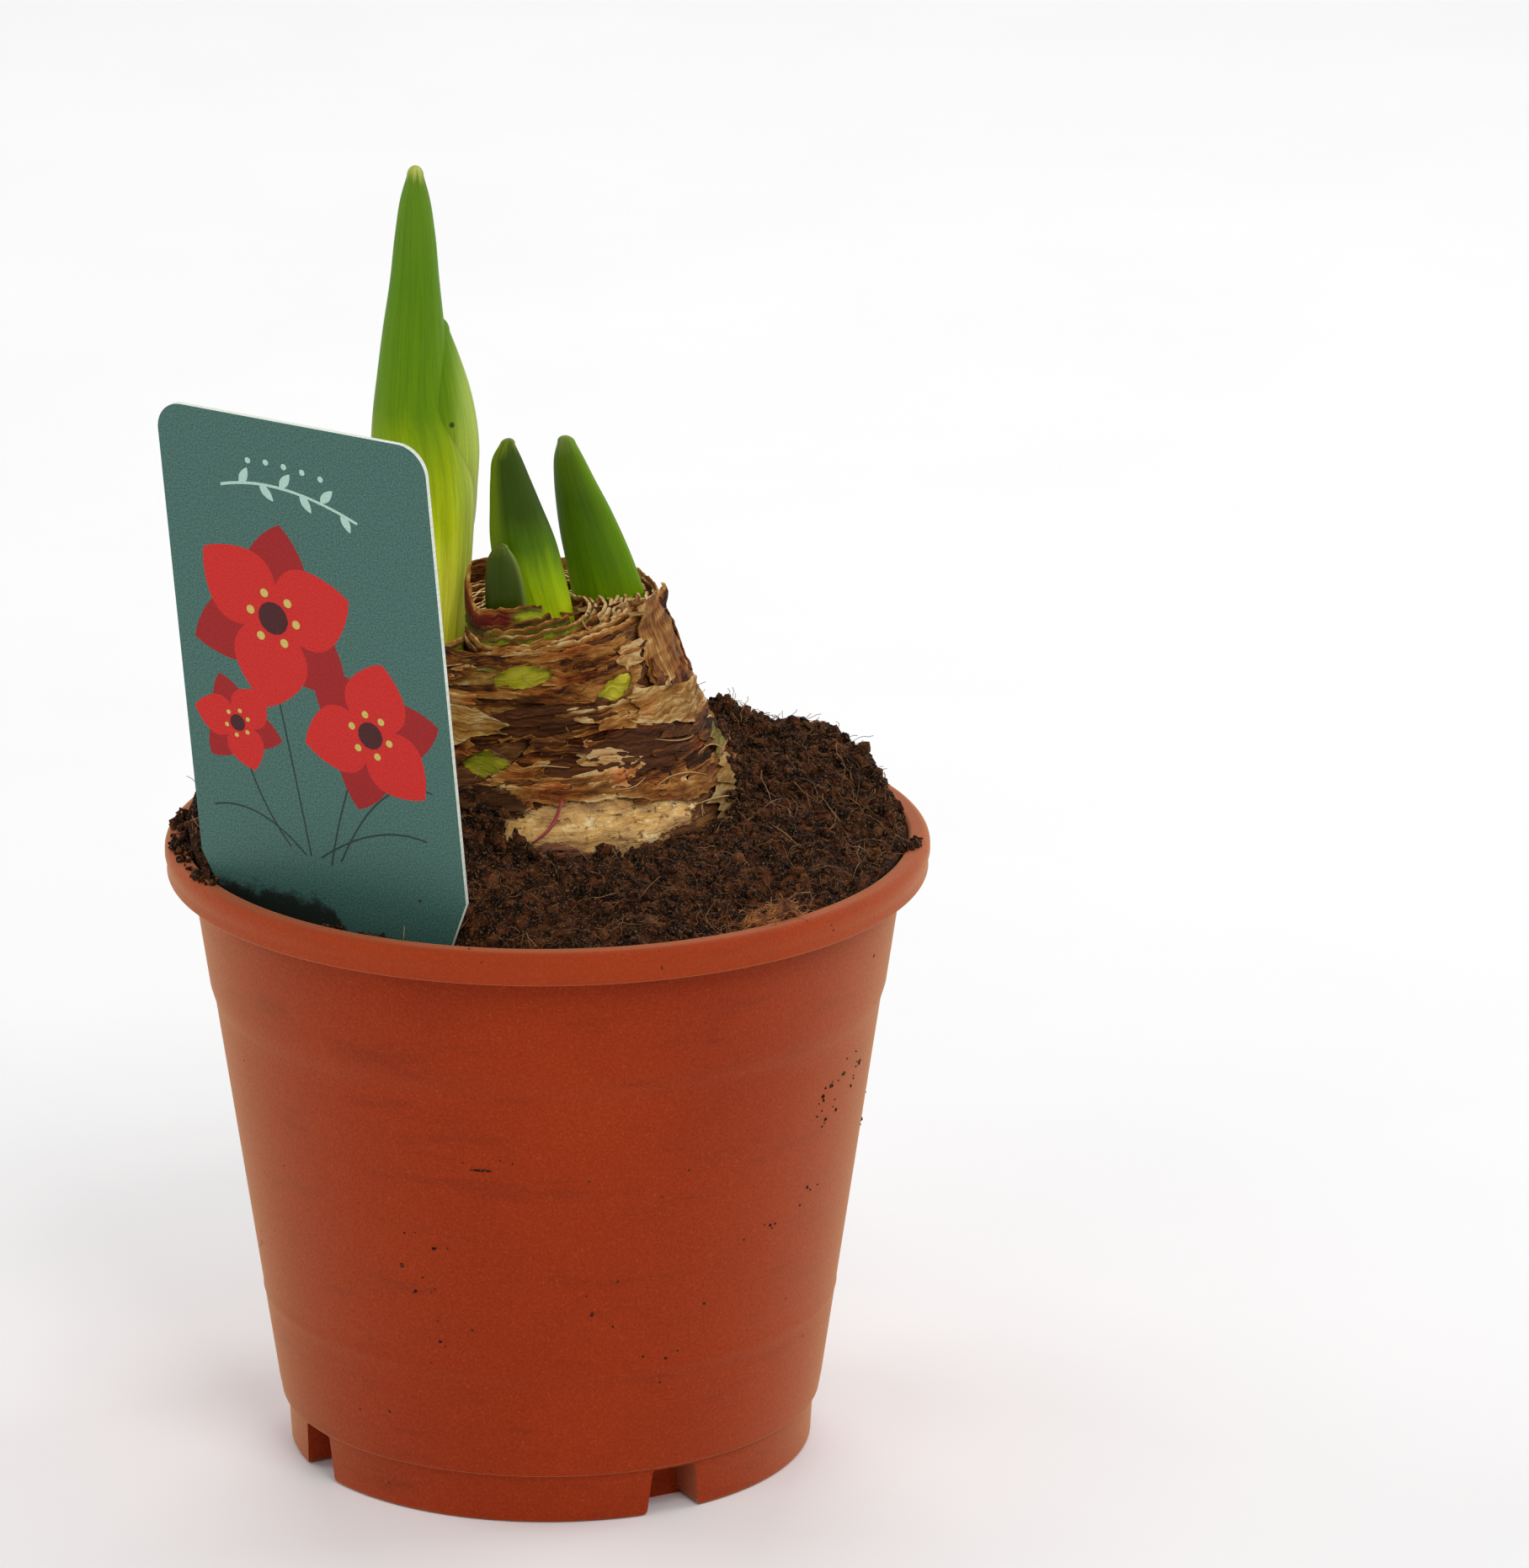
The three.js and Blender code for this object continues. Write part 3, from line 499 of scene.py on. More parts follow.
def bulb_point(angle, height, offset=0.0):
    """A point on the bulb's outside at an angle and height, lifted off it by an offset."""
    radii, heights = np.array(BULB_PROFILE).T
    radius = np.interp(height, heights, radii) + offset
    radius = radius - 0.25 * smooth(height, 108, 124) * (0.5 + 0.5 * np.cos(FURROWS * angle + height / 9))
    x = BULB_AXIS[0] + NECK_LEAN * smooth(height, 118, 146) + radius * np.cos(angle)
    return joined(x, BULB_AXIS[1] + radius * np.sin(angle), height)


def neck_level(x):
    """The height at which the neck is cut, which rises a little to the right."""
    return NECK_TOP + NECK_TILT * x


def streaks_effect():
    """Long fibres along one direction of a skin: a value from 0 to 1 over Length by Width."""
    inputs = {"Place": "Vector", "Length": "Float", "Width": "Float"}
    group, given = node_group("ShaderNodeTree", "streaks", inputs, {"Value": "Float"})
    wobble = texture(group, given["Place"], 6.0, 2.0)
    shift = add(group, "ShaderNodeCombineXYZ", {"Y": times(group, wobble, 3.2)})
    size = {"X": given["Length"], "Y": given["Width"], "Z": 0.37}
    moved = vector_math(group, "ADD", given["Place"], out(shift))
    place = vector_math(group, "DIVIDE", moved, out(add(group, "ShaderNodeCombineXYZ", size)))
    values = {"Vector": place, "Scale": 1.0, "Detail": 5.0, "Roughness": 0.68}
    fibres = out(add(group, "ShaderNodeTexNoise", values))
    add(group, "NodeGroupOutput", {"Value": ramp(group, fibres, 0.28, 0.72)})
    return group


def patch_effect():
    """A ragged patch of a skin: 1 inside an ellipse round Centre, of half size Half, and 0 outside."""
    inputs = {"Place": "Vector", "Centre": "Vector", "Half": "Vector", "Turn": "Float", "Ragged": "Float"}
    group, given = node_group("ShaderNodeTree", "ragged_patch", inputs, {"Mask": "Float"})
    moved = vector_math(group, "SUBTRACT", given["Place"], given["Centre"])
    turned_back = {"Vector": moved, "Axis": (0, 0, 1), "Angle": given["Turn"]}
    level = out(add(group, "ShaderNodeVectorRotate", turned_back))
    apart = add(group, "ShaderNodeSeparateXYZ", {0: vector_math(group, "DIVIDE", level, given["Half"])})
    flat = add(group, "ShaderNodeCombineXYZ", {"X": out(apart, "X"), "Y": out(apart, "Y")})
    reach = vector_math(group, "LENGTH", out(flat))
    rough = math_node(group, "SUBTRACT", texture(group, given["Place"], 3.0, 4.0, 0.7, (2.2, 1, 1)), 0.5)
    edge = math_node(group, "MULTIPLY_ADD", rough, given["Ragged"], reach)
    add(group, "NodeGroupOutput", {"Mask": ramp(group, edge, 1.06, 0.94)})
    return group


streaks = streaks_effect()
ragged_patch = patch_effect()


def skin_patch(tree, wrap, degrees, height, half_degrees, half_height, turn, ragged=1.2):
    """The mask of a ragged patch on the bulb's skin, round an angle in degrees and a height."""
    centre, half = (degrees * PER_DEGREE, height, 0), (half_degrees * PER_DEGREE, half_height, 1)
    place = {"Place": wrap, "Centre": centre, "Half": half, "Turn": math.radians(turn)}
    return effect(tree, ragged_patch, Ragged=ragged, **place)


def attribute(tree, name):
    return out(add(tree, "ShaderNodeAttribute", attribute_name=name), "Vector")


def separated(tree, vector):
    node = add(tree, "ShaderNodeSeparateXYZ", {0: vector})
    return out(node, "X"), out(node, "Y"), out(node, "Z")


def with_looks(piece, **looks):
    """Gives each point of a piece the vectors that its material reads."""
    for name, values in looks.items():
        layer = piece.data.attributes.new(name, "FLOAT_VECTOR", "POINT")
        layer.data.foreach_set("vector", np.asarray(values, np.float32).ravel())
    return piece


# Flesh of the bulb, under its dry skins: tan and brown, cream low at the front and green at three tears, the
# lowest one darker with painted shade
bulb_flesh, tree, shader, place = new_finish("bulb_flesh", 0.62, 0.1)
wrap = attribute(tree, "wrap")
fibre = effect(tree, streaks, Place=wrap, Length=9.0, Width=0.55)
blotch = texture(tree, wrap, 4.0, 4.0, 0.6, (2.0, 1, 1))
cloud = texture(tree, wrap, 2.6, 5.0, 0.7, (1.8, 1, 1))
flecked = ramp(tree, texture(tree, wrap, 1.3, 4.0, 0.75, (1.6, 1, 1)), 0.55, 0.63)
cream = layered(
    tree, mixed(tree, ramp(tree, cloud, 0.36, 0.62), (150, 92, 40), (224, 170, 90)),
    (fibre, 0.45, (255, 226, 162)),
    (ramp(tree, cloud, 0.56, 0.66), 0.8, (255, 234, 184)),
    (flecked, 0.8, (108, 62, 36)),
)
green = mixed(tree, fibre, (148, 142, 8), (214, 202, 66))
crumbly = texture(tree, place, 1.4, 4.0, 0.7)
crumbly = math_node(tree, "MULTIPLY_ADD", crumbly, 7.0, separated(tree, wrap)[1])
fine_soil = effect(tree, soil_specks, Place=place, Spacing=0.9, Amount=0.5)
colour = mixed(tree, fibre, (50, 28, 16), (122, 74, 38))
light_brown = mixed(tree, fibre, (104, 66, 36), (160, 112, 58))
colour = mixed(tree, ramp(tree, blotch, 0.5, 0.7), colour, light_brown)
for patch, tone in (
    # angle, height, half sizes, turn and raggedness of a patch, and its tone
    ((-95, 124.0, 14, 2.6, 4), mixed(tree, fibre, (120, 84, 42), (172, 128, 68))),
    ((-63, 127.0, 8, 3.4, -30, 1.6), mixed(tree, fibre, (134, 122, 84), (186, 180, 142))),
    ((-72, 118.0, 31, 5.2, -8, 1.5), cream),
    ((-86, 113.0, 12, 2.6, 0, 1.6), mixed(tree, fibre, (120, 72, 52), (158, 106, 78))),
    ((-90.5, 141.4, 13.5, 2.1, 5, 1.0), green),
    ((-54.5, 137.9, 14, 2.4, 19, 1.0), green),
    # The lowest tear is a darker green: painted shade
    ((-106, 127.2, 21, 2.4, 27, 1.0), mixed(tree, fibre, (92, 94, 6), (158, 152, 30))),
):
    colour = mixed(tree, skin_patch(tree, wrap, *patch), colour, tone)
soiled = ramp(tree, crumbly, PEAT_LINE + 5.6, PEAT_LINE + 3.4)
paint(tree, shader, layered(tree, colour, (soiled, 1, (50, 31, 20)), (fine_soil, 1, SOIL_STAIN)))
bump(tree, shader, fibre, 0.22)

levels = np.concatenate([np.linspace(64, 108, 14), np.linspace(109.5, NECK_TOP - 0.9, 92)])
around = circle_angles(BULB_SIDES)
angles, heights = np.meshgrid(around, levels)
turned_back = np.where(angles > math.radians(215), angles - 2 * math.pi, angles)
skin = wrapped(turned_back, heights)
# The old scales end one over the other in low ragged steps, finely wrinkled along the girth
bare = bulb_point(angles, heights)
above_peat = smooth(heights, 109, 113)
step_place = (heights + 2.2 * lumps(bare, (9, 9, 7), 4, 2.0)) / 4.6
step_rise = smooth(step_place - np.floor(step_place), 0.0, 0.16) - (step_place - np.floor(step_place))
relief = 0.45 * step_rise + 0.4 * lumps(bare, (7, 7, 1.6), 4, 5.0) + 0.2 * lumps(bare, (3, 3, 0.5), 3, 8.0)
rings = bulb_point(angles, heights, above_peat * (relief - 0.15) + 0.3 * lumps(bare, 14, 2, 1.0))
rings[..., 2] += NECK_TILT * rings[..., 0] * smooth(heights, 134, 143)
neck_rings, neck_skins = [], []
for share in (0.02, 0.05, 0.1, 0.18, 0.27, 0.36, 0.46, 0.56, 0.66, 0.76, 0.86, 0.95):
    radius = (NECK_RADIUS - 0.2) * (1 - share)
    x = BULB_AXIS[0] + NECK_LEAN + 3 * share + radius * np.cos(around)
    y = BULB_AXIS[1] - 4 * share + radius * np.sin(around)
    sunk = 2.6 * smooth(share, 0.02, 0.1) + 0.5 * lumps(joined(x, y, 0), 2.6, 3, share)
    neck_rings.append(joined(x, y, neck_level(x) - 0.4 - sunk))
    neck_skins.append(wrapped(turned_back[0], NECK_TOP + 40 * share))
rings = np.concatenate([rings, neck_rings])
skin = np.concatenate([skin, neck_skins])
middle = (BULB_AXIS[0] + NECK_LEAN + 3, BULB_AXIS[1] - 4, NECK_TOP - 3.2)
bulb_shape = lofted(rings, (*BULB_AXIS, BULB_PROFILE[0][1] - 0.5), middle)
skin_points = np.vstack([skin.reshape(-1, 3), skin[0, 0], skin[-1, 0]])
bulb_body = with_looks(new_piece("bulb_body", *bulb_shape, [bulb_flesh], 70), wrap=skin_points)
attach(bulb_body, "root")
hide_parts("bulb")


def tube(path, radii, sides=8):
    """Points and faces of a round rod along a path, closed at both ends."""
    path, radii = np.asarray(path, float), np.asarray(radii, float)
    along = np.gradient(path, axis=0)
    along /= np.linalg.norm(along, axis=1, keepdims=True)
    helper = np.where(np.abs(along[:, 2:]) < 0.9, [[0.0, 0, 1.0]], [[1.0, 0, 0]])
    across = np.cross(helper, along)
    across /= np.linalg.norm(across, axis=1, keepdims=True)
    third = np.cross(along, across)
    turns = circle_angles(sides)
    circle = across[:, None] * np.cos(turns)[None, :, None] + third[:, None] * np.sin(turns)[None, :, None]
    rings = path[:, None] + circle * radii[:, None, None]
    return lofted(rings, path[0] - along[0] * radii[0] * 0.5, path[-1] + along[-1] * radii[-1] * 0.5)


def merged(parts):
    """Points and faces of several bodies as one."""
    points, faces, start = [], [], 0
    for part_points, part_faces in parts:
        points.append(part_points)
        faces += [tuple(start + index for index in face) for face in part_faces]
        start += len(part_points)
    return np.vstack(points), faces


# Roots: thick and pale, inside the peat
root_flesh = two_tone_finish("root_flesh", 0.6, (176, 150, 108), (214, 196, 160), 2.0)
roots = []
for number in range(ROOT_COUNT):
    start = math.radians(20 + 360 * number / ROOT_COUNT)
    t = np.linspace(0, 1, 16)
    reach = ROOT_START + ROOT_SPREAD * (1 + 0.35 * math.sin(4.1 * number)) * np.sin(t * math.pi / 2)
    bend = start + 0.35 * t * math.sin(1.9 * number)
    drop = ROOT_DROP * (1 + 0.2 * math.cos(2.7 * number))
    x, y = BULB_AXIS[0] + reach * np.cos(bend), BULB_AXIS[1] + reach * np.sin(bend)
    path = joined(x, y, ROOT_TOP - drop * t)
    roots.append(tube(path, ROOT_RADIUS * (1 - 0.45 * t), 10))
bulb_roots = new_piece("bulb_roots", *merged(roots), [root_flesh])
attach(bulb_roots, "root")
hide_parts("bulb")

# Peat
# Coarse dark potting peat, heaped against the bulb, higher at the back and pushed down before the label: a
# lumpy body between the pot and the bulb, with loose crumbs, fine rootlets and straw-coloured fibres on it.
PEAT_RIM_LEVEL = 109.4
PEAT_RIM_SLOPE = 3.3
PEAT_BULB_LEVEL = 117.0
PEAT_BULB_SLOPE = 2.8
BULB_SHOULDER = 36.0
# Rise, angle and spread in degrees of the peat banked up at the right of the back
PEAT_BANK = (4.8, 22, 23)
# Rise, place and spread of two clods against the bulb
PEAT_CLODS = [(7.5, 30.5, 20.0, 4.5), (7.5, -15.5, -27.0, 7.5)]
PEAT_BEFORE_LABEL = 102.4
LABEL_HOLLOW = (-4.5, -1.5)
LABEL_ANCHOR = (-35.3, -37.4, 112.4)
LABEL_TURN = math.radians(-34.3)
PEAT_GAP = 0.35
PEAT_EDGE_DIP = 1.2
# Rise, place and spread of the peat heaped on the rim at the left
LEFT_BANK = (7.0, -60.0, -4.0, 14.0)
PEAT_SIDES = 480
PEAT_RINGS = 64
# Where crumbs and fibres lie: above this level, outside this radius and short of the wall by this gap
OPEN_LEVEL, OPEN_RADIUS, OPEN_GAP = 100, 31, 0.8
# Angle and spread in degrees, and rise, of the peat that clings higher up on the bulb
CLINGING = [(-108, 15, 9.5), (-22, 16, 4.5), (3, 15, 12)]
# From and to in degrees of the peat spilt on the rim, at the left and at the right
LEFT_SPILL = (168, 206)
RIGHT_SPILL = 348
TUFT_PLACE = (36, -47)
TUFT_REACH = 5.5


def mix(first, second, share):
    return first + (second - first) * share


def peat_level(x, y):
    """Height of the peat's surface, lumps and all."""
    angle = np.arctan2(y, x)
    from_pot = np.hypot(x, y)
    past_bulb = np.hypot(x - BULB_AXIS[0], y - BULB_AXIS[1]) - BULB_SHOULDER
    rise, bank_angle, spread = PEAT_BANK
    bank = rise * np.exp(-(((angle - math.radians(bank_angle)) / math.radians(spread)) ** 2))
    left_place = np.hypot(x - LEFT_BANK[1], y - LEFT_BANK[2]) / LEFT_BANK[3]
    left_bank = np.exp(-(left_place**2))
    rim = PEAT_RIM_LEVEL + PEAT_RIM_SLOPE * np.sin(angle) + bank
    by_bulb = PEAT_BULB_LEVEL + PEAT_BULB_SLOPE * np.sin(angle)
    share = smooth(past_bulb / (past_bulb + np.maximum(RIM_INNER_RADIUS - from_pot, 0.1)), 0, 1)
    share = np.where(past_bulb < 0, 0, share)
    clods = sum(high * np.exp(-(np.hypot(x - cx, y - cy) / wide) ** 2) for high, cx, cy, wide in PEAT_CLODS)
    flat = joined(x, y, 0)
    rough = 1.0 * lumps(flat, 8, 2, 1.0) + 1.3 * lumps(flat, 3.0, 3, 2.0) + 0.7 * lumps(flat, 1.0, 3, 3.0)
    level = mix(by_bulb, rim, share) + LEFT_BANK[0] * left_bank + clods + rough
    level = level - PEAT_EDGE_DIP * (1 - smooth(past_bulb, 0, 9))
    at_rim = np.minimum(level, POT_HEIGHT + 0.6 + 0.4 * rough + 1.6 * left_bank)
    settled = mix(level, at_rim, smooth(from_pot, RIM_INNER_RADIUS - 4, RIM_INNER_RADIUS - 0.5))
    beyond = (x - LABEL_ANCHOR[0]) * math.sin(LABEL_TURN) - (y - LABEL_ANCHOR[1]) * math.cos(LABEL_TURN)
    return mix(settled, PEAT_BEFORE_LABEL + 0.4 * rough, smooth(beyond, *LABEL_HOLLOW))


peat, tree, shader, place = new_finish("peat", 0.95, 0.15)
coarse = texture(tree, place, 2.2, 5.0, 0.7)
fine = texture(tree, place, 0.4, 3.0, 0.7)
wide = texture(tree, place, 5.0, 2.0)
tone, _, _ = separated(tree, attribute(tree, "tone"))
colour = layered(
    tree, mixed(tree, ramp(tree, coarse, 0.42, 0.62), (18, 8, 4), (94, 50, 26)),
    (ramp(tree, tone, 0.6, 1.0), 0.45, (124, 76, 40)),
    (ramp(tree, tone, 0.42, 0.0), 0.8, (22, 12, 8)),
    (ramp(tree, wide, 0.52, 0.38), 0.6, (14, 7, 4)),
    (ramp(tree, fine, 0.53, 0.68), 1, (140, 100, 60)),
)
paint(tree, shader, colour)
bump(tree, shader, fine, 0.5)

around = circle_angles(PEAT_SIDES)
circle = joined(np.cos(around), np.sin(around))
rings = []
# The peat keeps inside the pockets in the foot, and fills the whole width above them
pocket_clear = POCKET_INNER_RADIUS - WALL
pocket_roof = POCKET_HEIGHT + WALL + PEAT_GAP
peat_side = [(pocket_clear, POT_FLOOR + PEAT_GAP), (pocket_clear, pocket_roof)]
peat_side += [row for row in pot_inside[::-1] if row[1] > pocket_roof + 0.2]
for radius, level in peat_side:
    rings.append(np.column_stack([circle * (radius - PEAT_GAP), np.full(PEAT_SIDES, level)]))
outer_edge = circle * (RIM_INNER_RADIUS - PEAT_GAP)
bulb_edge = bulb_point(around, 115.0)[:, :2]
for _ in range(3):
    bulb_edge = bulb_point(around, peat_level(bulb_edge[:, 0], bulb_edge[:, 1]), -1.2)[:, :2]
for share in np.linspace(0, 1, PEAT_RINGS):
    flat = mix(outer_edge, bulb_edge, share)
    rings.append(np.column_stack([flat, peat_level(flat[:, 0], flat[:, 1])]))
for radius, level in [(r, z) for r, z in BULB_PROFILE[::-1] if z < PEAT_LINE]:
    beside_bulb = np.array(BULB_AXIS) + circle * (radius + PEAT_GAP)
    rings.append(np.column_stack([beside_bulb, np.full(PEAT_SIDES, float(level))]))
peat_heap_shape = lofted(rings, (0, 0, POT_FLOOR + PEAT_GAP), (*BULB_AXIS, BULB_PROFILE[0][1] - 1))
peat_heap = new_piece("peat_heap", *peat_heap_shape, [peat], 180)
with_looks(peat_heap, tone=np.full((len(peat_heap_shape[0]), 3), 0.45))
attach(peat_heap, "root")
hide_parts("peat")


def grown(name, group, surface, finish, **values):
    """What a node group grows on a surface, as a piece of its own."""
    piece = bpy.data.objects.new(name, surface)
    bpy.context.scene.collection.objects.link(piece)
    modifier = piece.modifiers.new("grow", "NODES")
    modifier.node_group = group
    for item in group.interface.items_tree:
        if item.item_type == "SOCKET" and item.in_out == "INPUT" and item.name in values:
            modifier[item.identifier] = values[item.name]
    mesh = evaluated_mesh(piece)
    piece.modifiers.remove(modifier)
    piece.data = mesh
    mesh.materials.clear()
    mesh.materials.append(finish)
    return piece


def growth_group(name, *sizes):
    """A node group that grows things on a surface, with its inputs and the points it strews there."""
    inputs = {"Geometry": "Geometry", **dict.fromkeys(sizes, "Float"), "Seed": "Int"}
    group, given = node_group("GeometryNodeTree", name, inputs, {"Geometry": "Geometry"})
    strewn = {"Mesh": given["Geometry"], "Density": given["Density"], "Seed": given["Seed"]}
    return group, given, add(group, "GeometryNodeDistributePointsOnFaces", strewn)


def chance(group, seed, low, high):
    """A random value or vector for each point."""
    kind = "FLOAT" if isinstance(high, float) else "FLOAT_VECTOR"
    return out(add(group, "FunctionNodeRandomValue", {"Min": low, "Max": high, "Seed": seed}, data_type=kind))


def roughened(group, geometry, scale, detail, middle, reach):
    """Geometry whose points are pushed about by noise."""
    place = out(add(group, "GeometryNodeInputPosition"))
    rough = add(group, "ShaderNodeTexNoise", {"Vector": place, "Scale": scale, "Detail": detail})
    pushed = scaled(group, vector_math(group, "SUBTRACT", out(rough, "Color"), middle), reach)
    return out(add(group, "GeometryNodeSetPosition", {"Geometry": geometry, "Offset": pushed}))


def crumbs_group(finish):
    """Crumbs strewn over a surface: small rough lumps of many sizes."""
    group, given, spots = growth_group("crumbs", "Density", "Smallest", "Largest")
    lump = add(group, "GeometryNodeMeshIcoSphere", {"Radius": 1.0, "Subdivisions": 1})
    turn = chance(group, 1, (0, 0, 0), (6.28, 6.28, 6.28))
    squash = chance(group, 2, (0.6, 0.6, 0.4), (1.5, 1.0, 0.8))
    share = math_node(group, "POWER", chance(group, 3, 0.0, 1.0), 3.0)
    sizes = {"Value": share, "To Min": given["Smallest"], "To Max": given["Largest"]}
    size = out(add(group, "ShaderNodeMapRange", sizes))
    scale = scaled(group, squash, size)
    placed = {"Points": out(spots), "Instance": out(lump), "Rotation": turn, "Scale": scale}
    lumps_there = out(add(group, "GeometryNodeInstanceOnPoints", placed))
    named = {"Geometry": lumps_there, "Name": "tone", "Value": chance(group, 6, (0, 0, 0), (1, 1, 1))}
    toned = add(group, "GeometryNodeStoreNamedAttribute", named, data_type="FLOAT_VECTOR", domain="INSTANCE")
    real = out(add(group, "GeometryNodeRealizeInstances", {"Geometry": out(toned)}))
    moved = roughened(group, real, 1100.0, 1.0, (0.5, 0.5, 0.5), 0.0015)
    done = add(group, "GeometryNodeSetMaterial", {"Geometry": moved, "Material": finish})
    add(group, "NodeGroupOutput", {"Geometry": out(done)})
    return group


def strands_group(finish):
    """Fibres strewn over a surface: thin wavy threads that lie along it and lift at their ends."""
    group, given, spots = growth_group("strands", "Density", "Length", "Thickness", "Wave", "Spread")
    bow = {"Resolution": 9, "Start": (-0.5, 0, 0.02), "Middle": (0, 0.2, 0.03), "End": (0.5, 0, 0.02)}
    fibre = out(add(group, "GeometryNodeCurveQuadraticBezier", bow))
    most = out(add(group, "ShaderNodeCombineXYZ", {"X": 0.12, "Y": 0.12, "Z": given["Spread"]}))
    turns = {"Rotation": out(spots, "Rotation"), "Rotate By": chance(group, 4, (-0.12, -0.12, 0), most)}
    turn = out(add(group, "FunctionNodeRotateRotation", turns, rotation_space="LOCAL"))
    scale = times(group, chance(group, 5, 0.35, 1.0), given["Length"])
    placed = {"Points": out(spots), "Instance": fibre, "Rotation": turn, "Scale": scale}
    fibres = out(add(group, "GeometryNodeInstanceOnPoints", placed))
    real = out(add(group, "GeometryNodeRealizeInstances", {"Geometry": fibres}))
    moved = roughened(group, real, 220.0, 2.0, (0.5, 0.5, 0.45), given["Wave"])
    along = out(add(group, "GeometryNodeSplineParameter"), "Factor")
    ends = times(group, math_node(group, "SUBTRACT", 1.0, along), times(group, along, 4.0))
    taper = math_node(group, "MULTIPLY_ADD", ends, 0.7, 0.3)
    tapered = out(add(group, "GeometryNodeSetCurveRadius", {"Curve": moved, "Radius": taper}))
    three_sided = {"Resolution": 3, "Radius": given["Thickness"]}
    ring = out(add(group, "GeometryNodeCurvePrimitiveCircle", three_sided))
    rods = {"Curve": tapered, "Profile Curve": ring, "Fill Caps": True}
    made = {"Geometry": out(add(group, "GeometryNodeCurveToMesh", rods)), "Material": finish}
    add(group, "NodeGroupOutput", {"Geometry": out(add(group, "GeometryNodeSetMaterial", made))})
    return group


def patch_of(points, faces, keep):
    """A mesh with those faces of a body whose middle passes a test, for things to grow on."""
    points = np.asarray(points, float)
    chosen = [face for face in faces if keep(points[list(face)].mean(axis=0))]
    mesh = bpy.data.meshes.new("ground")
    mesh.from_pydata((points * MM).tolist(), [], chosen)
    return mesh


def open_ground(middle):
    """True on top of the peat, short of the pot's wall."""
    x, y, height = middle
    inside = math.hypot(x, y) < RIM_INNER_RADIUS - OPEN_GAP
    return height > OPEN_LEVEL and inside and math.hypot(x - BULB_AXIS[0], y - BULB_AXIS[1]) > OPEN_RADIUS


def soiled_shoulder(middle):
    """True where peat clings to the bulb's shoulder: low down all round, and higher at three places."""
    angle = math.degrees(math.atan2(middle[1] - BULB_AXIS[1], middle[0] - BULB_AXIS[0]))
    higher = sum(rise * math.exp(-(((angle - at) / spread) ** 2)) for at, spread, rise in CLINGING)
    uneven = 2.2 * noise.noise(Vector(middle) / 2.6)
    return PEAT_LINE - 3 < middle[2] < PEAT_LINE + 1.6 + higher + uneven


def soil_piece(name, group, ground, finish, **values):
    piece = grown(name, group, ground, finish, **values)
    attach(piece, "root")
    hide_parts("peat")


def moved_out(points, distance):
    """Points of the bulb moved away from its axis."""
    points = np.array(points, float)
    flat = points[:, :2] - BULB_AXIS
    points[:, :2] += flat / np.maximum(np.linalg.norm(flat, axis=1), 1)[:, None] * distance
    return points


def on_rim(middle):
    """True on the top of the rim where peat has spilt, at the left and a little at the right."""
    angle = math.degrees(math.atan2(middle[1], middle[0])) % 360
    at_right = angle > RIGHT_SPILL and noise.noise(Vector(middle) / 5.0) > 0.1
    spilt = LEFT_SPILL[0] < angle < LEFT_SPILL[1] or at_right
    return spilt and noise.noise(Vector(middle) / 3.0) > -0.25


def crumb_sizes(density, smallest, largest, seed):
    """How many crumbs lie on a square metre, and how large they are in metres."""
    return {"Density": density, "Smallest": smallest, "Largest": largest, "Seed": seed}


crumbs = crumbs_group(peat)
ground = patch_of(*peat_heap_shape, open_ground)
soil_piece("peat_crumbs", crumbs, ground, peat, **crumb_sizes(560000.0, 0.00025, 0.0016, 3))
shoulder = patch_of(moved_out(bulb_shape[0], 1.7), bulb_shape[1], soiled_shoulder)
soil_piece("shoulder_crumbs", crumbs, shoulder, peat, **crumb_sizes(1100000.0, 0.00035, 0.0015, 5))
rim_radii = np.linspace(RIM_INNER_RADIUS - 0.5, RIM_INNER_RADIUS + 2.6, 4)
angle, radius = np.meshgrid(np.linspace(0, 2 * math.pi, 181), rim_radii)
rim_points = joined(radius * np.cos(angle), radius * np.sin(angle), POT_HEIGHT + 0.2).reshape(-1, 3)
rim_ground = patch_of(rim_points, grid_faces(4, 181, False), on_rim)
soil_piece("rim_crumbs", crumbs, rim_ground, peat, **crumb_sizes(1500000.0, 0.0002, 0.0014, 8))

# Crumbs that stick to the outside of the pot: angle, height, half width and half height
POT_CRUMBS = [
    (-113.4, 95.2, 0.4, 0.6), (-112.6, 92.5, 0.3, 0.3), (-112.2, 89.8, 0.35, 0.3), (-114.2, 91.1, 0.25, 0.3),
    (-33.8, 70.8, 0.45, 0.35), (-31.4, 72.0, 0.5, 0.4), (-27.0, 72.9, 0.6, 0.35), (-19.8, 72.6, 0.35, 0.5),
    (-4.6, 57.4, 0.4, 0.4), (-31.8, 66.0, 0.35, 0.3), (-28.2, 66.7, 0.3, 0.35), (-22.6, 69.3, 0.35, 0.3),
    (-35.0, 54.5, 0.3, 0.3), (-45.0, 50.2, 0.25, 0.25), (-111.8, 50.7, 0.3, 0.3), (-118.6, 46.5, 0.3, 0.25),
    (-101.8, 66.1, 1.8, 0.2), (-116.2, 42.2, 0.3, 0.3), (-67.0, 29.7, 0.3, 0.25), (-111.8, 33.3, 0.25, 0.3),
    (-82.2, 39.3, 0.25, 0.25),
]


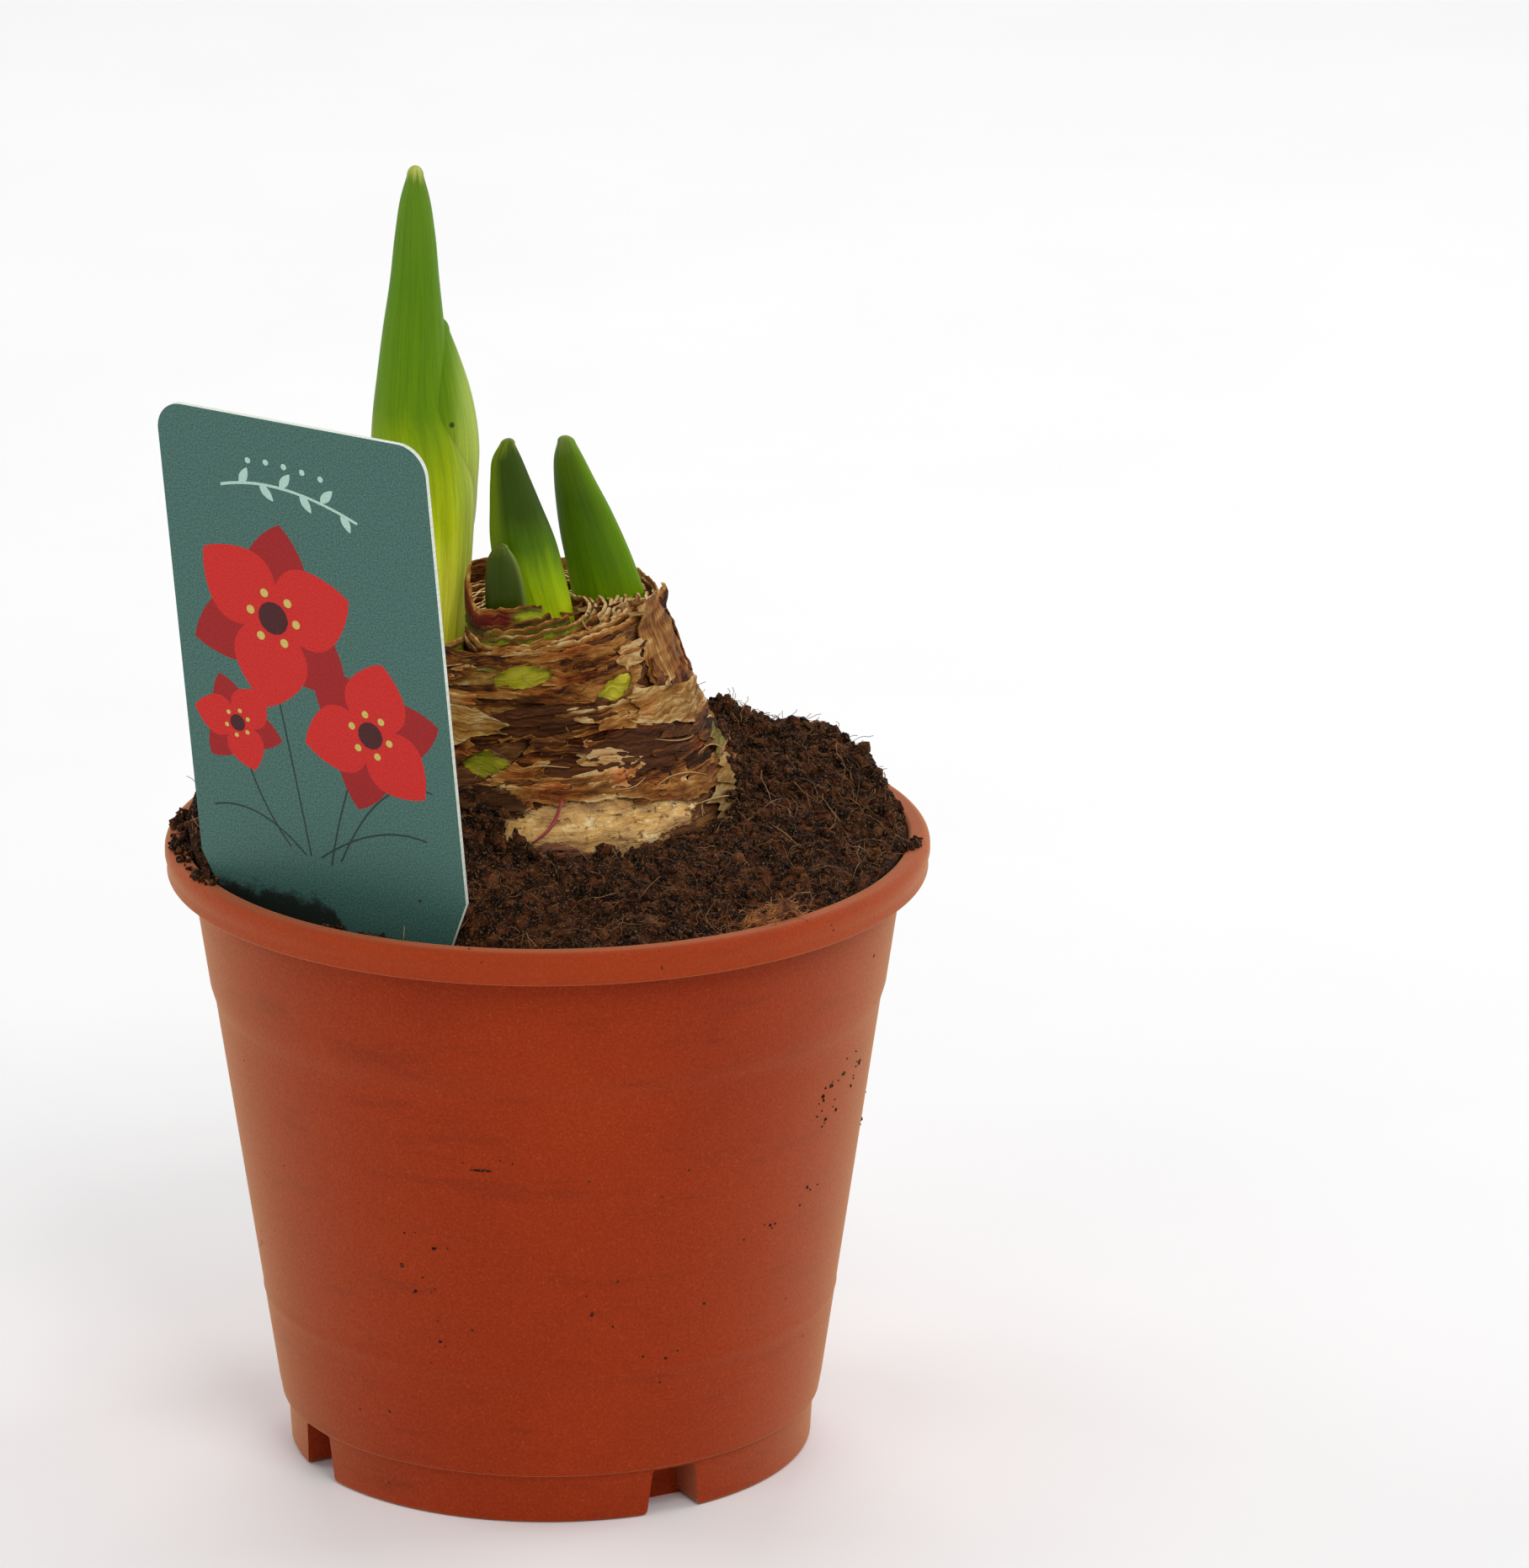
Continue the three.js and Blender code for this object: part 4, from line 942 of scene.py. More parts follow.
def pot_crumb(degrees, level, half_width, half_height):
    """A small rough lump that sits on the pot's wall."""
    rings = []
    for latitude in np.radians([-60, -20, 20, 60]):
        turn = circle_angles(10)
        reach = math.cos(latitude) * (1 + 0.3 * np.sin(3 * turn + degrees))
        radius = cone_radius(level) + 0.22 * reach * np.sin(turn)
        angle = math.radians(degrees) + half_width * reach * np.cos(turn) / cone_radius(level)
        height = level + half_height * math.sin(latitude)
        rings.append(joined(radius * np.cos(angle), radius * np.sin(angle), height))
    ends = [rings[0].mean(axis=0) - [0, 0, 0.05], rings[-1].mean(axis=0) + [0, 0, 0.05]]
    return lofted(rings, *ends)


dice = np.random.default_rng(17)
stuck = list(POT_CRUMBS)
for degrees, level, half_width, _ in POT_CRUMBS:
    for _ in range(3):
        size = dice.uniform(0.1, 0.2)
        stuck.append((degrees + dice.normal(0, 2.6), level + dice.normal(0, 2.4), size, size))
wall_crumbs = new_piece("wall_crumbs", *merged([pot_crumb(*row) for row in stuck]), [peat])
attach(wall_crumbs, "root")
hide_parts("pot")

# Rootlets are fine and dark, and straw-coloured fibres longer and fewer
CRISP = (0.4, 0.62)
rootlet = two_tone_finish("peat_rootlet", 0.8, (58, 32, 19), (142, 96, 54), 5.0, 2.0, CRISP)
straw = two_tone_finish("peat_straw", 0.75, (100, 68, 38), (176, 130, 78), 5.0, 2.0, CRISP)
tuft = two_tone_finish("peat_tuft", 0.7, (118, 62, 26), (198, 128, 62), 2.0, 2.0, CRISP)


def tuft_ground(middle):
    """True where an orange-brown tuft of coir lies near the rim, at the right of the front."""
    x, y = middle[0] - TUFT_PLACE[0], middle[1] - TUFT_PLACE[1]
    reach = math.hypot(0.8 * x + 0.6 * y, 2.0 * (0.8 * y - 0.6 * x))
    return middle[2] > OPEN_LEVEL and reach < TUFT_REACH


def strand_sizes(density, length, wave, seed, thickness=0.00006, spread=2 * math.pi):
    """How many fibres lie on a square metre, how long, wavy and thick they are, and how far they turn."""
    sizes = {"Density": density, "Length": length, "Thickness": thickness, "Wave": wave}
    return {**sizes, "Spread": spread, "Seed": seed}


tuft_patch = patch_of(*peat_heap_shape, tuft_ground)
for name, finish, grown_on, sizes in (
    ("peat_rootlets", rootlet, ground, strand_sizes(115000.0, 0.007, 0.0034, 9)),
    ("peat_straws", straw, ground, strand_sizes(10000.0, 0.016, 0.0045, 12)),
    ("coir_tuft", tuft, tuft_patch, strand_sizes(2600000.0, 0.010, 0.005, 14, spread=0.9)),
):
    soil_piece(name, strands_group(finish), grown_on, finish, **sizes)

# Dry scales
# Papery brown skins that wrap the neck and shoulder of the bulb, torn and frayed, in a front sheet, a back
# sheet, a shoulder sheet and a stiff flap at the right. Each is a stack of thin ragged strips, laid in rows.
SKIN_THICKNESS = 0.28
SKIN_CREASE = 60
FLAP_LEAN = 1.6
FLAP_SLANT = 3.5
# Torn windows, where green flesh shows: middle angle and height, half width and height, and turn
WINDOWS = [(-90.5, 141.4, 13.0, 2.0, 5), (-54.5, 137.9, 11.4, 1.7, 19), (-106, 127.2, 20, 2.2, 27)]
TUNIC_STRIPS = {
    # from and to in degrees, low edge at both ends, high edge at both ends, lift, paleness, greenness
    "tunic_front": [
        (-156, -112, 124.6, 124.6, 138.0, 138.5, 0.3, 0.2, 0.0),
        (-120, -40, 124.0, 124.2, 137.0, 136.6, 0.25, 0.12, 0.0),
        (-154, -96, 135.0, 135.8, 142.2, 144.0, 0.5, 0.52, 0.2),
        (-100, -40, 134.6, 135.0, 144.6, 146.0, 0.5, 0.44, 0.03),
        (-128, -66, 134.2, 135.0, 139.3, 139.9, 0.9, 0.42, 0.04),
        (-121, -97, 129.6, 132.6, 137.2, 134.4, 1.2, 0.8, 0.14),
        (-79, -40, 134.6, 131.2, 137.4, 136.2, 1.15, 0.72, 0.06),
        (-74, -61, 126.8, 126.0, 130.8, 129.4, 0.8, 1.0, 0.1, 1.3),
        (-69, -55, 124.6, 124.2, 129.4, 127.4, 1.0, 1.15, 0.06, 1.3),
        (-72, -58, 123.4, 123.4, 125.8, 125.4, 1.1, 0.9, 0.0, 1.2),
        (-152, -98, 140.4, 142.2, 143.0, 144.6, 1.0, 0.8, 0.34),
        (-104, -41, 143.2, 144.7, 144.3, 146.2, 1.0, 0.6, 0.05),
        (-51, -38, 141.0, 141.4, 144.4, 144.8, 1.3, 0.85, 0.1),
        (-82, -54, 139.8, 141.0, 143.4, 144.6, 0.95, 0.36, 0.0),
        (-106, -84, 123.6, 123.8, 128.0, 127.4, 0.6, 0.6, 0.0, 1.0),
        (-88, -64, 123.8, 123.2, 127.4, 126.6, 0.45, 0.15, 0.0, 1.0),
        (-100, -70, 123.4, 123.2, 125.2, 125.0, 0.9, 0.5, 0.0, 1.1),
        (-92, -52, 123.6, 122.0, 125.6, 124.0, 1.0, 0.4, 0.0, 0.8),
        (-104, -66, 122.8, 122.4, 124.8, 124.8, 1.1, 0.6, 0.0, 1.2),
        (-60, -36, 122.0, 120.2, 125.0, 124.6, 0.6, 0.3, 0.0, 1.0),
        (-62, -38, 121.2, 119.8, 123.4, 122.4, 1.0, 0.5, 0.0, 1.1),
        (-156, -120, 117.4, 119.8, 126.0, 126.0, 0.2, 0.1, 0.0, 1.1),
    ],
    "tunic_shoulder": [
        (-70, 6, 124.8, 124.2, 130.4, 131.4, 0.9, 0.06, 0.0),
        (-46, 54, 120.8, 122.6, 126.6, 130.2, 0.7, 0.12, 0.0),
        (-27, -14, 113.8, 113.6, 119.4, 120.2, 1.0, 1.15, 0.14, 1.3),
        (-24, -12, 119.4, 120.0, 122.2, 122.8, 1.6, 0.9, 0.2, 1.0),
        (-17, -8, 123.0, 123.6, 125.8, 126.2, 2.2, 0.95, 0.36, 0.9),
        (-52, -1, 132.8, 126.8, 138.4, 133.6, 1.7, 0.82, 0.12, 0.5),
        (-24, -2, 124.8, 124.4, 129.6, 129.0, 1.7, 0.05, 0.0, 0.9),
        (-56, -12, 120.6, 118.6, 122.8, 122.4, 0.8, 0.4, 0.0, 0.9),
    ],
    "tunic_flap": [
        (-38, 62, 131.2, 132.4, 150.2, 148.6, 1.1, 0.54, 0.0, 0.35),
        (-37, -6, 132.4, 131.6, 141.0, 138.2, 1.45, 0.18, 0.0, 0.5),
        (4, 60, 134.0, 134.6, 147.0, 147.0, 1.5, 0.4, 0.0),
    ],
    "tunic_back": [
        (58, 208, 122.8, 124.2, 147.4, 143.2, 0.5, 0.3, 0.0),
        (70, 150, 123.6, 124.0, 132.2, 133.2, 1.2, 0.3, 0.0),
        (120, 206, 124.4, 126.0, 138.4, 140.6, 1.0, 0.4, 0.05),
        (62, 122, 131.0, 132.4, 147.8, 147.2, 1.0, 0.3, 0.0),
        (56, 212, 116.4, 117.6, 125.6, 126.4, 0.2, 0.1, 0.0, 1.1),
        (96, 168, 114.8, 115.2, 118.8, 119.2, 0.2, 0.25, 0.0, 1.0),
    ],
}
# Loose flakes over each sheet: how many, and the angles and heights they lie between
TUNIC_FLAKES = {
    "tunic_front": (60, (-146, -44), (118.5, 144.5)),
    "tunic_shoulder": (22, (-60, 46), (118.5, 131.5)),
    "tunic_flap": (0, (-16, 52), (134.0, 145.0)),
    "tunic_back": (24, (72, 196), (124.5, 145.0)),
}
# Places besides the windows that stay clear of flakes: middle and half size, in degrees and millimetres
CLEAR_PLACES = [(-63, 127.4, 8, 3.0), (-109, 133.4, 10, 2.6), (-72, 117.8, 31, 4.0)]


def closed_sheet(outer, inner, kept):
    """Points and faces of a thin sheet between two grids of points. Cells not kept are holes through it."""
    rows, columns = outer.shape[:2]
    count = rows * columns
    faces = []
    for row, column in zip(*np.nonzero(kept)):
        a = row * columns + column
        b, c, d = a + 1, a + columns + 1, a + columns
        faces += [(a, b, c, d), (a + count, d + count, c + count, b + count)]
        for up, over, start, end in ((-1, 0, a, b), (0, 1, b, c), (1, 0, c, d), (0, -1, d, a)):
            beside = row + up, column + over
            within = 0 <= beside[0] < rows - 1 and 0 <= beside[1] < columns - 1
            if not (within and kept[beside]):
                faces.append((end, start, start + count, end + count))
    return np.vstack([outer.reshape(-1, 3), inner.reshape(-1, 3)]), faces


def torn_windows(angle, height, seed):
    """Grid places moved on to the ragged rims of the windows near them, and the cells outside all windows."""
    kept = np.ones((angle.shape[0] - 1, angle.shape[1] - 1), bool)
    for middle, level, half_angle, half_height, turn in WINDOWS:
        x = (np.degrees(angle) - middle) * PER_DEGREE
        y = height - level
        c, s = math.cos(math.radians(turn)), math.sin(math.radians(turn))
        along, across = (x * c + y * s) / (half_angle * PER_DEGREE), (-x * s + y * c) / half_height
        reach = np.maximum((np.abs(along) ** 1.5 + np.abs(across) ** 1.5) ** (1 / 1.5), 1e-6)
        tear = joined(along * 2.4, across * 1.6, seed + middle)
        rim = 1.0 + 0.26 * lumps(tear / reach[..., None] ** [[1, 1, 0]], 0.5, 4, 0.0)
        inside = reach < rim
        near = inside & (reach > rim - 0.34)
        grow = np.where(near, rim / reach, 1.0)
        inside &= ~near
        x, y = x * grow, y * grow
        angle = np.where(near, np.radians(middle + x / PER_DEGREE), angle)
        height = np.where(near, level + y, height)
        kept &= ~(inside[:-1, :-1] | inside[1:, :-1] | inside[:-1, 1:] | inside[1:, 1:])
    return angle, height, kept


def sheet_part(outer, inner, skin, tint, kept=None):
    """A thin sheet as a part of a piece: its points, faces, place on the skin and tint."""
    kept = np.ones((len(outer) - 1, len(outer[0]) - 1), bool) if kept is None else kept
    points, faces = closed_sheet(outer, inner, kept)
    return points, faces, *(np.vstack([values.reshape(-1, 3)] * 2) for values in (skin, tint))


def strip(ends, lift, pale, green, ragged=0.6, curl=0.0, layer=0.0, upright=False):
    """One torn strip of dry skin on the bulb: its points, faces, place on the skin and tint.

    An upright strip has its fibres up and down, and its top leans in over the neck.
    """
    from_angle, to_angle, low_from, low_to, high_from, high_to = ends
    columns = int(np.clip(abs(to_angle - from_angle) * PER_DEGREE / 0.5, 8, 130))
    rows = int(np.clip((max(high_from, high_to) - min(low_from, low_to)) / 0.5, 5, 36))
    u, v = np.meshgrid(np.linspace(0, 1, columns), np.linspace(0, 1, rows))
    seed = layer + from_angle * 0.37 + low_from
    girth = wrapped(np.radians(mix(from_angle, to_angle, u)), 0 * v, seed)
    low = mix(low_from, low_to, u) + ragged * lumps(girth, (5.5, 1, 1), 4, 1.0)
    high = mix(high_from, high_to, u) + ragged * lumps(girth, (5.0, 1, 1), 4, 2.0)
    height = mix(low, high, v)
    end_tear = 5 * ragged / PER_DEGREE * lumps(wrapped(0 * u, height, seed), (1, 1.8, 1), 4, 3.0)
    slant = FLAP_SLANT * v * (1 - u) if upright else 0.0
    angle = np.radians(mix(from_angle, to_angle, u) + slant + end_tear * (2 * np.abs(u - 0.5)) ** 4)
    angle, height, kept = torn_windows(angle, height, seed)
    skin = wrapped(angle, height, seed)
    crease = lumps(skin, (11, 1.5, 1), 4, 4.0)
    wrinkle = lumps(skin, (4, 0.5, 1), 3, 5.0)
    edge_lift = curl * ((2 * np.abs(v - 0.5)) ** 4 + (2 * np.abs(u - 0.5)) ** 6)
    billow = smooth(lumps(skin, (12, 6, 1), 2, 6.0), -0.5, 0.8)
    offset = lift + 0.3 * billow + 0.3 * crease + 0.12 * wrinkle + edge_lift
    if upright:
        offset = offset - FLAP_LEAN * smooth(v, 0.6, 1) * np.sin(np.pi * u)
        skin = skin[..., [1, 0, 2]] + joined(0.35 * skin[..., 0], 0, 0)
    outer = bulb_point(angle, height, offset + SKIN_THICKNESS)
    inner = bulb_point(angle, height, offset)
    near_edge = np.maximum(smooth(np.abs(v - 0.5), 0.42, 0.5), smooth(np.abs(u - 0.5), 0.48, 0.5))
    shade = pale + 0.14 * near_edge + 0.34 * crease + 0.22 * wrinkle
    return sheet_part(outer, inner, skin, joined(green, shade, 0), kept)


def loose_flakes(name, dice):
    """Small torn flakes at chance places of a sheet, clear of its windows."""
    count, turn_range, height_range = TUNIC_FLAKES[name]
    clear = CLEAR_PLACES + [window[:4] for window in WINDOWS]
    made = []
    while len(made) < count:
        middle, height = dice.uniform(*turn_range), dice.uniform(*height_range)
        half = dice.uniform(5, 20)
        apart = [math.hypot((middle - a) / (da + half), (height - z) / (dz + 1.6)) for a, z, da, dz in clear]
        if min(apart) < 1:
            continue
        tall = dice.uniform(0.3, 1.2)
        tilt = dice.normal(0, 0.5)
        left, right = height - tilt, height + tilt
        ends = (middle - half, middle + half, left - tall, right - tall, left + tall, right + tall)
        lift = dice.uniform(0.8, 1.5)
        pale = dice.choice([0.1, 0.25, 0.4, 0.6], p=[0.3, 0.3, 0.25, 0.15])
        made.append(strip(ends, lift, pale, 0.0, 0.45, dice.uniform(-0.3, 0.3), len(made) * 7.0))
    return made


# Dry skin: long fibres from umber to straw, paler at torn edges and green where flesh still clings
dry_scale, tree, shader, place = new_finish("dry_scale", 0.62, 0.1)
wrap, tint = attribute(tree, "wrap"), attribute(tree, "tint")
green_share, pale_share, red_share = separated(tree, tint)
fibre = effect(tree, streaks, Place=wrap, Length=10.0, Width=0.5)
hairs = effect(tree, streaks, Place=wrap, Length=5.0, Width=0.14)
blotch = ramp(tree, texture(tree, wrap, 3.6, 5.0, 0.65, (2.2, 1, 1)), 0.32, 0.68)
depth = times(tree, fibre, 0.4)
for part, share in ((blotch, 0.36), (hairs, 0.34), (pale_share, 0.8)):
    depth = math_node(tree, "ADD", depth, times(tree, part, share))
tones = add(tree, "ShaderNodeValToRGB", {"Fac": math_node(tree, "SUBTRACT", depth, 0.46)})
tones.color_ramp.elements[0].color = srgb(40, 19, 8)
tones.color_ramp.elements[1].color = srgb(226, 192, 134)
for share, tone in ((0.2, srgb(82, 42, 18)), (0.45, srgb(142, 84, 32)), (0.75, srgb(186, 130, 62))):
    tones.color_ramp.elements.new(share).color = tone
reddish = ramp(tree, texture(tree, wrap, 5.0, 3.0, 0.5, (2, 1, 1)), 0.5, 0.72)
reddish = mixed(tree, reddish, (255, 255, 255), (255, 206, 186))
olive = mixed(tree, fibre, (70, 74, 12), (126, 122, 40))
lime = mixed(tree, fibre, (132, 142, 10), (186, 190, 50))
green = mixed(tree, ramp(tree, green_share, 0.5, 0.9), olive, lime)
red = mixed(tree, fibre, (70, 16, 14), (140, 40, 32))
# Painted shade: a dark undercut below the skins' lowest edges and a dark crevice below the highest tear; damp
# soil stains lower down
undercut_shade = skin_patch(tree, wrap, -50, 127.8, 48, 3.9, -9, 1.5)
crevice_shade = skin_patch(tree, wrap, -87, 134.6, 19, 3.6, 0, 1.7)
painted_shade_share = math_node(tree, "MAXIMUM", undercut_shade, crevice_shade)
painted_shade_share = times(tree, painted_shade_share, ramp(tree, pale_share, 1.05, 0.1))
umber = mixed(tree, fibre, (44, 21, 10), (110, 64, 33))
damp = texture(tree, place, 2.2, 5.0, 0.72, (1.6, 1.6, 1))
low_stain = math_node(tree, "MULTIPLY_ADD", damp, 10.0, separated(tree, place)[2])
stain = times(tree, ramp(tree, low_stain, 128.5, 120.5), 0.6)
left_stain = times(tree, skin_patch(tree, wrap, -110, 119.5, 17, 5.5, 0, 1.6), 0.85)
specks = effect(tree, soil_specks, Place=place, Spacing=1.1, Amount=0.34)
colour = layered(
    tree, mixed(tree, 1.0, out(tones), reddish, "MULTIPLY"),
    (ramp(tree, green_share, 0.0, 0.5), 1, green),
    (red_share, 1, red),
    # Painted shade in the undercut and the crevice, laid on as umber
    (painted_shade_share, 0.88, umber),
    (math_node(tree, "MAXIMUM", stain, left_stain), 1, (52, 28, 15)),
    (specks, 1, SOIL_STAIN),
)
paint(tree, shader, colour)
bump(tree, shader, math_node(tree, "ADD", fibre, times(tree, hairs, 0.6)), 0.18)


def skin_piece(name, node, parts, sharp):
    """A piece of several parts of dry skin, each with its points, faces, place on the skin and tint."""
    piece = new_piece(name, *merged([part[:2] for part in parts]), [dry_scale], sharp)
    wraps, tints = (np.vstack([part[index] for part in parts]) for index in (2, 3))
    with_looks(piece, wrap=wraps, tint=tints)
    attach(piece, "root")
    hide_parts(node)


for number, (node, strips) in enumerate(TUNIC_STRIPS.items()):
    upright = node == "tunic_flap"
    parts = [strip(row[:6], *row[6:], layer=3.0 * index, upright=upright) for index, row in enumerate(strips)]
    parts += loose_flakes(node, np.random.default_rng(40 + number))
    skin_piece(node + "_skins", node, parts, SKIN_CREASE)

# Neck scales
# The cut edges of the old scales stand in rings on top of the neck, dry and tan outside, still green or red
# round the young leaves. A tall pointed one wraps the small front leaf.
SCALE_THICKNESS = 0.46
SCALE_CREASE = 50
SCALE_FOOT = 141.5
# Where the shoot and leaves stand: centre and half widths
SPROUT_SEATS = [(-20.3, 2.0, 7.3, 5.9), (-0.3, -2.5, 5.6, 2.7), (10.4, 4.5, 6.9, 2.8), (-6.4, -7.6, 3.9, 2.5)]
# Centre and half widths, from and to in degrees, rise over the cut neck at the start, middle and end, and
# green, pale and red
NECK_SCALES = [
    ((-5.6, -6.2, 7.1, 5.6), (-196, -50), (12.5, 6.0, 5.4), (1.0, 0.1, 0.7)),
    ((-5.2, -6.3, 7.6, 6.2), (-186, -40), (7.0, 3.3, 3.6), (0.3, 0.1, 0.0)),
    ((-4.2, -6.3, 8.6, 7.1), (-184, -28), (5.2, 2.7, 2.6), (0.45, 0.15, 0.0)),
    ((-2.8, -6.3, 10.0, 8.4), (-182, -24), (4.0, 1.7, 2.0), (1.0, 0.3, 0.0)),
    ((-2.1, -6.3, 10.8, 9.1), (-182, -14), (3.2, 0.6, 1.2), (0.2, 0.2, 0.0)),
    ((-1.4, -6.2, 11.5, 9.8), (-182, -6), (2.8, 0.2, 1.0), (0.1, 0.45, 0.0)),
    ((-0.6, -5.8, 12.5, 11.2), (-182, 0), (1.6, -0.3, 0.8), (0.0, 0.6, 0.0)),
    ((-19.6, -1.0, 7.6, 9.2), (-176, -36), (-0.2, 0.6, 0.8), (1.0, 0.6, 0.0)),
    ((-4.0, 4.0, 22.1, 22.2), (-178, 190), (-0.6, 0.2, -0.6), (0.0, 0.6, 0.0)),
    ((-4.0, 4.0, 20.7, 20.7), (-176, 186), (-0.6, 0.5, -0.4), (0.0, 0.5, 0.0)),
    ((-3.8, 3.6, 19.3, 19.4), (-84, 180), (-0.8, 0.8, -0.4), (0.0, 0.75, 0.0)),
    ((-3.4, 3.2, 17.8, 18.0), (-76, 176), (-1.0, 0.6, -0.6), (0.0, 0.55, 0.0)),
    ((-2.8, 2.6, 16.4, 16.4), (-68, 170), (-0.8, 1.1, -0.6), (0.0, 0.8, 0.0)),
    ((-2.2, 2.2, 14.9, 14.8), (-64, 165), (-1.0, 0.9, -0.8), (0.0, 0.6, 0.0)),
    ((-1.6, 1.6, 13.4, 13.0), (-62, 150), (-0.8, 1.3, -0.4), (0.0, 0.8, 0.0)),
    ((-0.6, -1.6, 11.6, 10.8), (-52, 130), (-0.6, 1.2, 0.0), (0.0, 0.65, 0.0)),
    ((-0.3, -2.0, 10.0, 9.2), (-46, 116), (-0.6, 1.7, 0.2), (0.0, 0.85, 0.0)),
    ((-0.3, -2.2, 8.6, 7.6), (-40, 106), (0.0, 1.6, 0.6), (0.0, 0.6, 0.0)),
    ((-0.3, -2.4, 7.3, 6.0), (-34, 96), (0.4, 2.2, 0.8), (0.0, 0.9, 0.0)),
    ((10.4, 4.0, 9.2, 5.4), (-170, 10), (0.2, 0.9, 1.4), (0.0, 0.7, 0.0)),
    ((14.2, -4.6, 2.8, 2.2), (-235, 40), (1.0, 0.4, 2.0), (0.0, 0.8, 0.0)),
    ((-2.8, 3.0, 12.9, 13.2), (46, 178), (-0.8, 0.6, -0.8), (0.0, 0.6, 0.0)),
    ((-3.4, 3.8, 11.0, 11.4), (50, 182), (-0.6, 0.4, -0.8), (0.0, 0.8, 0.0)),
    ((-4.0, 4.4, 9.1, 9.4), (40, 188), (-0.8, 0.5, -0.6), (0.0, 0.5, 0.0)),
    ((-4.6, 5.0, 7.2, 7.4), (20, 195), (-0.6, 0.3, -0.6), (0.0, 0.7, 0.0)),
    ((-5.0, 5.6, 5.2, 5.2), (-20, 200), (-0.8, 0.4, -0.6), (0.0, 0.9, 0.0)),
]
# Dry curls over the right of the neck: how many, and the box they lie in
CURL_COUNT = 20
CURL_PLACES = ((1.0, 16.0), (-13.0, 0.0))


def scale_looks(share, shade, green, pale, red, near_edge):
    """The tints of a scale: dry and pale at its edge, and lower down green, red, or dark where it is dry.

    One that is both green and red turns from red to green towards its end.
    """
    turn = smooth(share, 0.66, 0.84) if red > 0 else 1.0
    below = 1 - near_edge
    green, red = green * turn * below, red * (1 - turn) * below
    dry = below * (1 - np.clip(green + red, 0, 1))
    return joined(green, pale + 0.4 * near_edge - 0.55 * dry + shade, red)


def neck_scale(place, sweep, rises, looks, layer):
    """One cut scale: a thin upright wall round a centre, with a ragged dry lip."""
    centre_x, centre_y, half_x, half_y = place
    columns = int(abs(math.radians(sweep[1] - sweep[0])) * half_x / 0.52)
    u, v = np.meshgrid(np.linspace(0, 1, columns), np.linspace(0, 1, 8))
    angle = np.radians(mix(*sweep, u))
    skin = joined(angle * half_x, v * 6, layer)
    rise = mix(mix(rises[0], rises[1], smooth(u, 0, 0.3)), rises[2], smooth(u, 0.7, 1))
    rise = rise + 0.55 * lumps(skin * [1, 0, 1], (2.4, 1, 1), 5, layer)
    height = mix(SCALE_FOOT, neck_level(centre_x + half_x * np.cos(angle)) + rise, v)
    lean = 0.9 * v**2 * (1 - v**6) + 0.45 * lumps(skin, (5, 8, 1), 3, layer + 1)
    lean = lean + 0.2 * v * lumps(skin, (1.0, 5, 1), 2, layer + 2)
    walls = []
    for reach in (SCALE_THICKNESS / 2, -SCALE_THICKNESS / 2):
        x = centre_x + (half_x + reach + lean) * np.cos(angle)
        y = centre_y + (half_y + reach + lean) * np.sin(angle)
        walls.append(joined(x, y, height))
    below_lip = height[-1] - height
    shade = 0.35 * lumps(skin, (1.6, 9, 1), 3, layer + 3)
    tint = scale_looks(u + 0.4 * shade, shade, *looks, 1 - smooth(below_lip + 0.8 * shade, 0.3, 1.1))
    foot = angle[:-1, :-1]
    foot_x, foot_y = centre_x + half_x * np.cos(foot), centre_y + half_y * np.sin(foot)
    kept = np.ones(foot_x.shape, bool)
    for x, y, half_width, half_depth in SPROUT_SEATS:
        kept &= np.hypot((foot_x - x) / half_width, (foot_y - y) / half_depth) > 1
    return sheet_part(*walls, skin, tint, kept)


def dry_curl(dice, layer):
    """One short curled shaving of dry scale, lying at a chance place over the right of the neck."""
    x, y = dice.uniform(*CURL_PLACES[0]), dice.uniform(*CURL_PLACES[1])
    length, width, bend = dice.uniform(2.0, 5.0), dice.uniform(0.35, 0.9), dice.uniform(-1.2, 1.2)
    heading, pitch = dice.normal(0.2, 0.9), dice.uniform(0.0, 0.3)
    u, v = np.meshgrid(np.linspace(-0.5, 0.5, 14), np.linspace(-0.5, 0.5, 4))
    turn = heading + bend * u
    along = length * u
    across = width * v * (1 - (2 * u) ** 4)
    base = neck_level(x) + 0.9 + pitch * along + 0.5 * (2 * u) ** 2 + 0.3 * across
    x, y = x + along * np.cos(turn) - across * np.sin(turn), y + along * np.sin(turn) + across * np.cos(turn)
    sheet = joined(x, y, base)
    tint = joined(0.0 * u, dice.uniform(0.1, 1.0), 0)
    return sheet_part(sheet + [0, 0, 0.1], sheet - [0, 0, 0.1], joined(along, across * 3, layer), tint)


dice = np.random.default_rng(61)
scales = [neck_scale(*values, layer=5.0 * index) for index, values in enumerate(NECK_SCALES)]
scales += [dry_curl(dice, 3.0 * index) for index in range(CURL_COUNT)]
skin_piece("neck_scales", "bulb", scales, SCALE_CREASE)

# Threads
# Single fibres that have sprung from the dry skins, and a dark red streak of dried sap on the cream patch.
thread_finish = two_tone_finish("skin_thread", 0.7, (150, 104, 56), (206, 168, 112), 4.0, 2.0)
sap_finish = two_tone_finish("dry_sap", 0.5, (96, 12, 8), (176, 40, 28), 1.0)
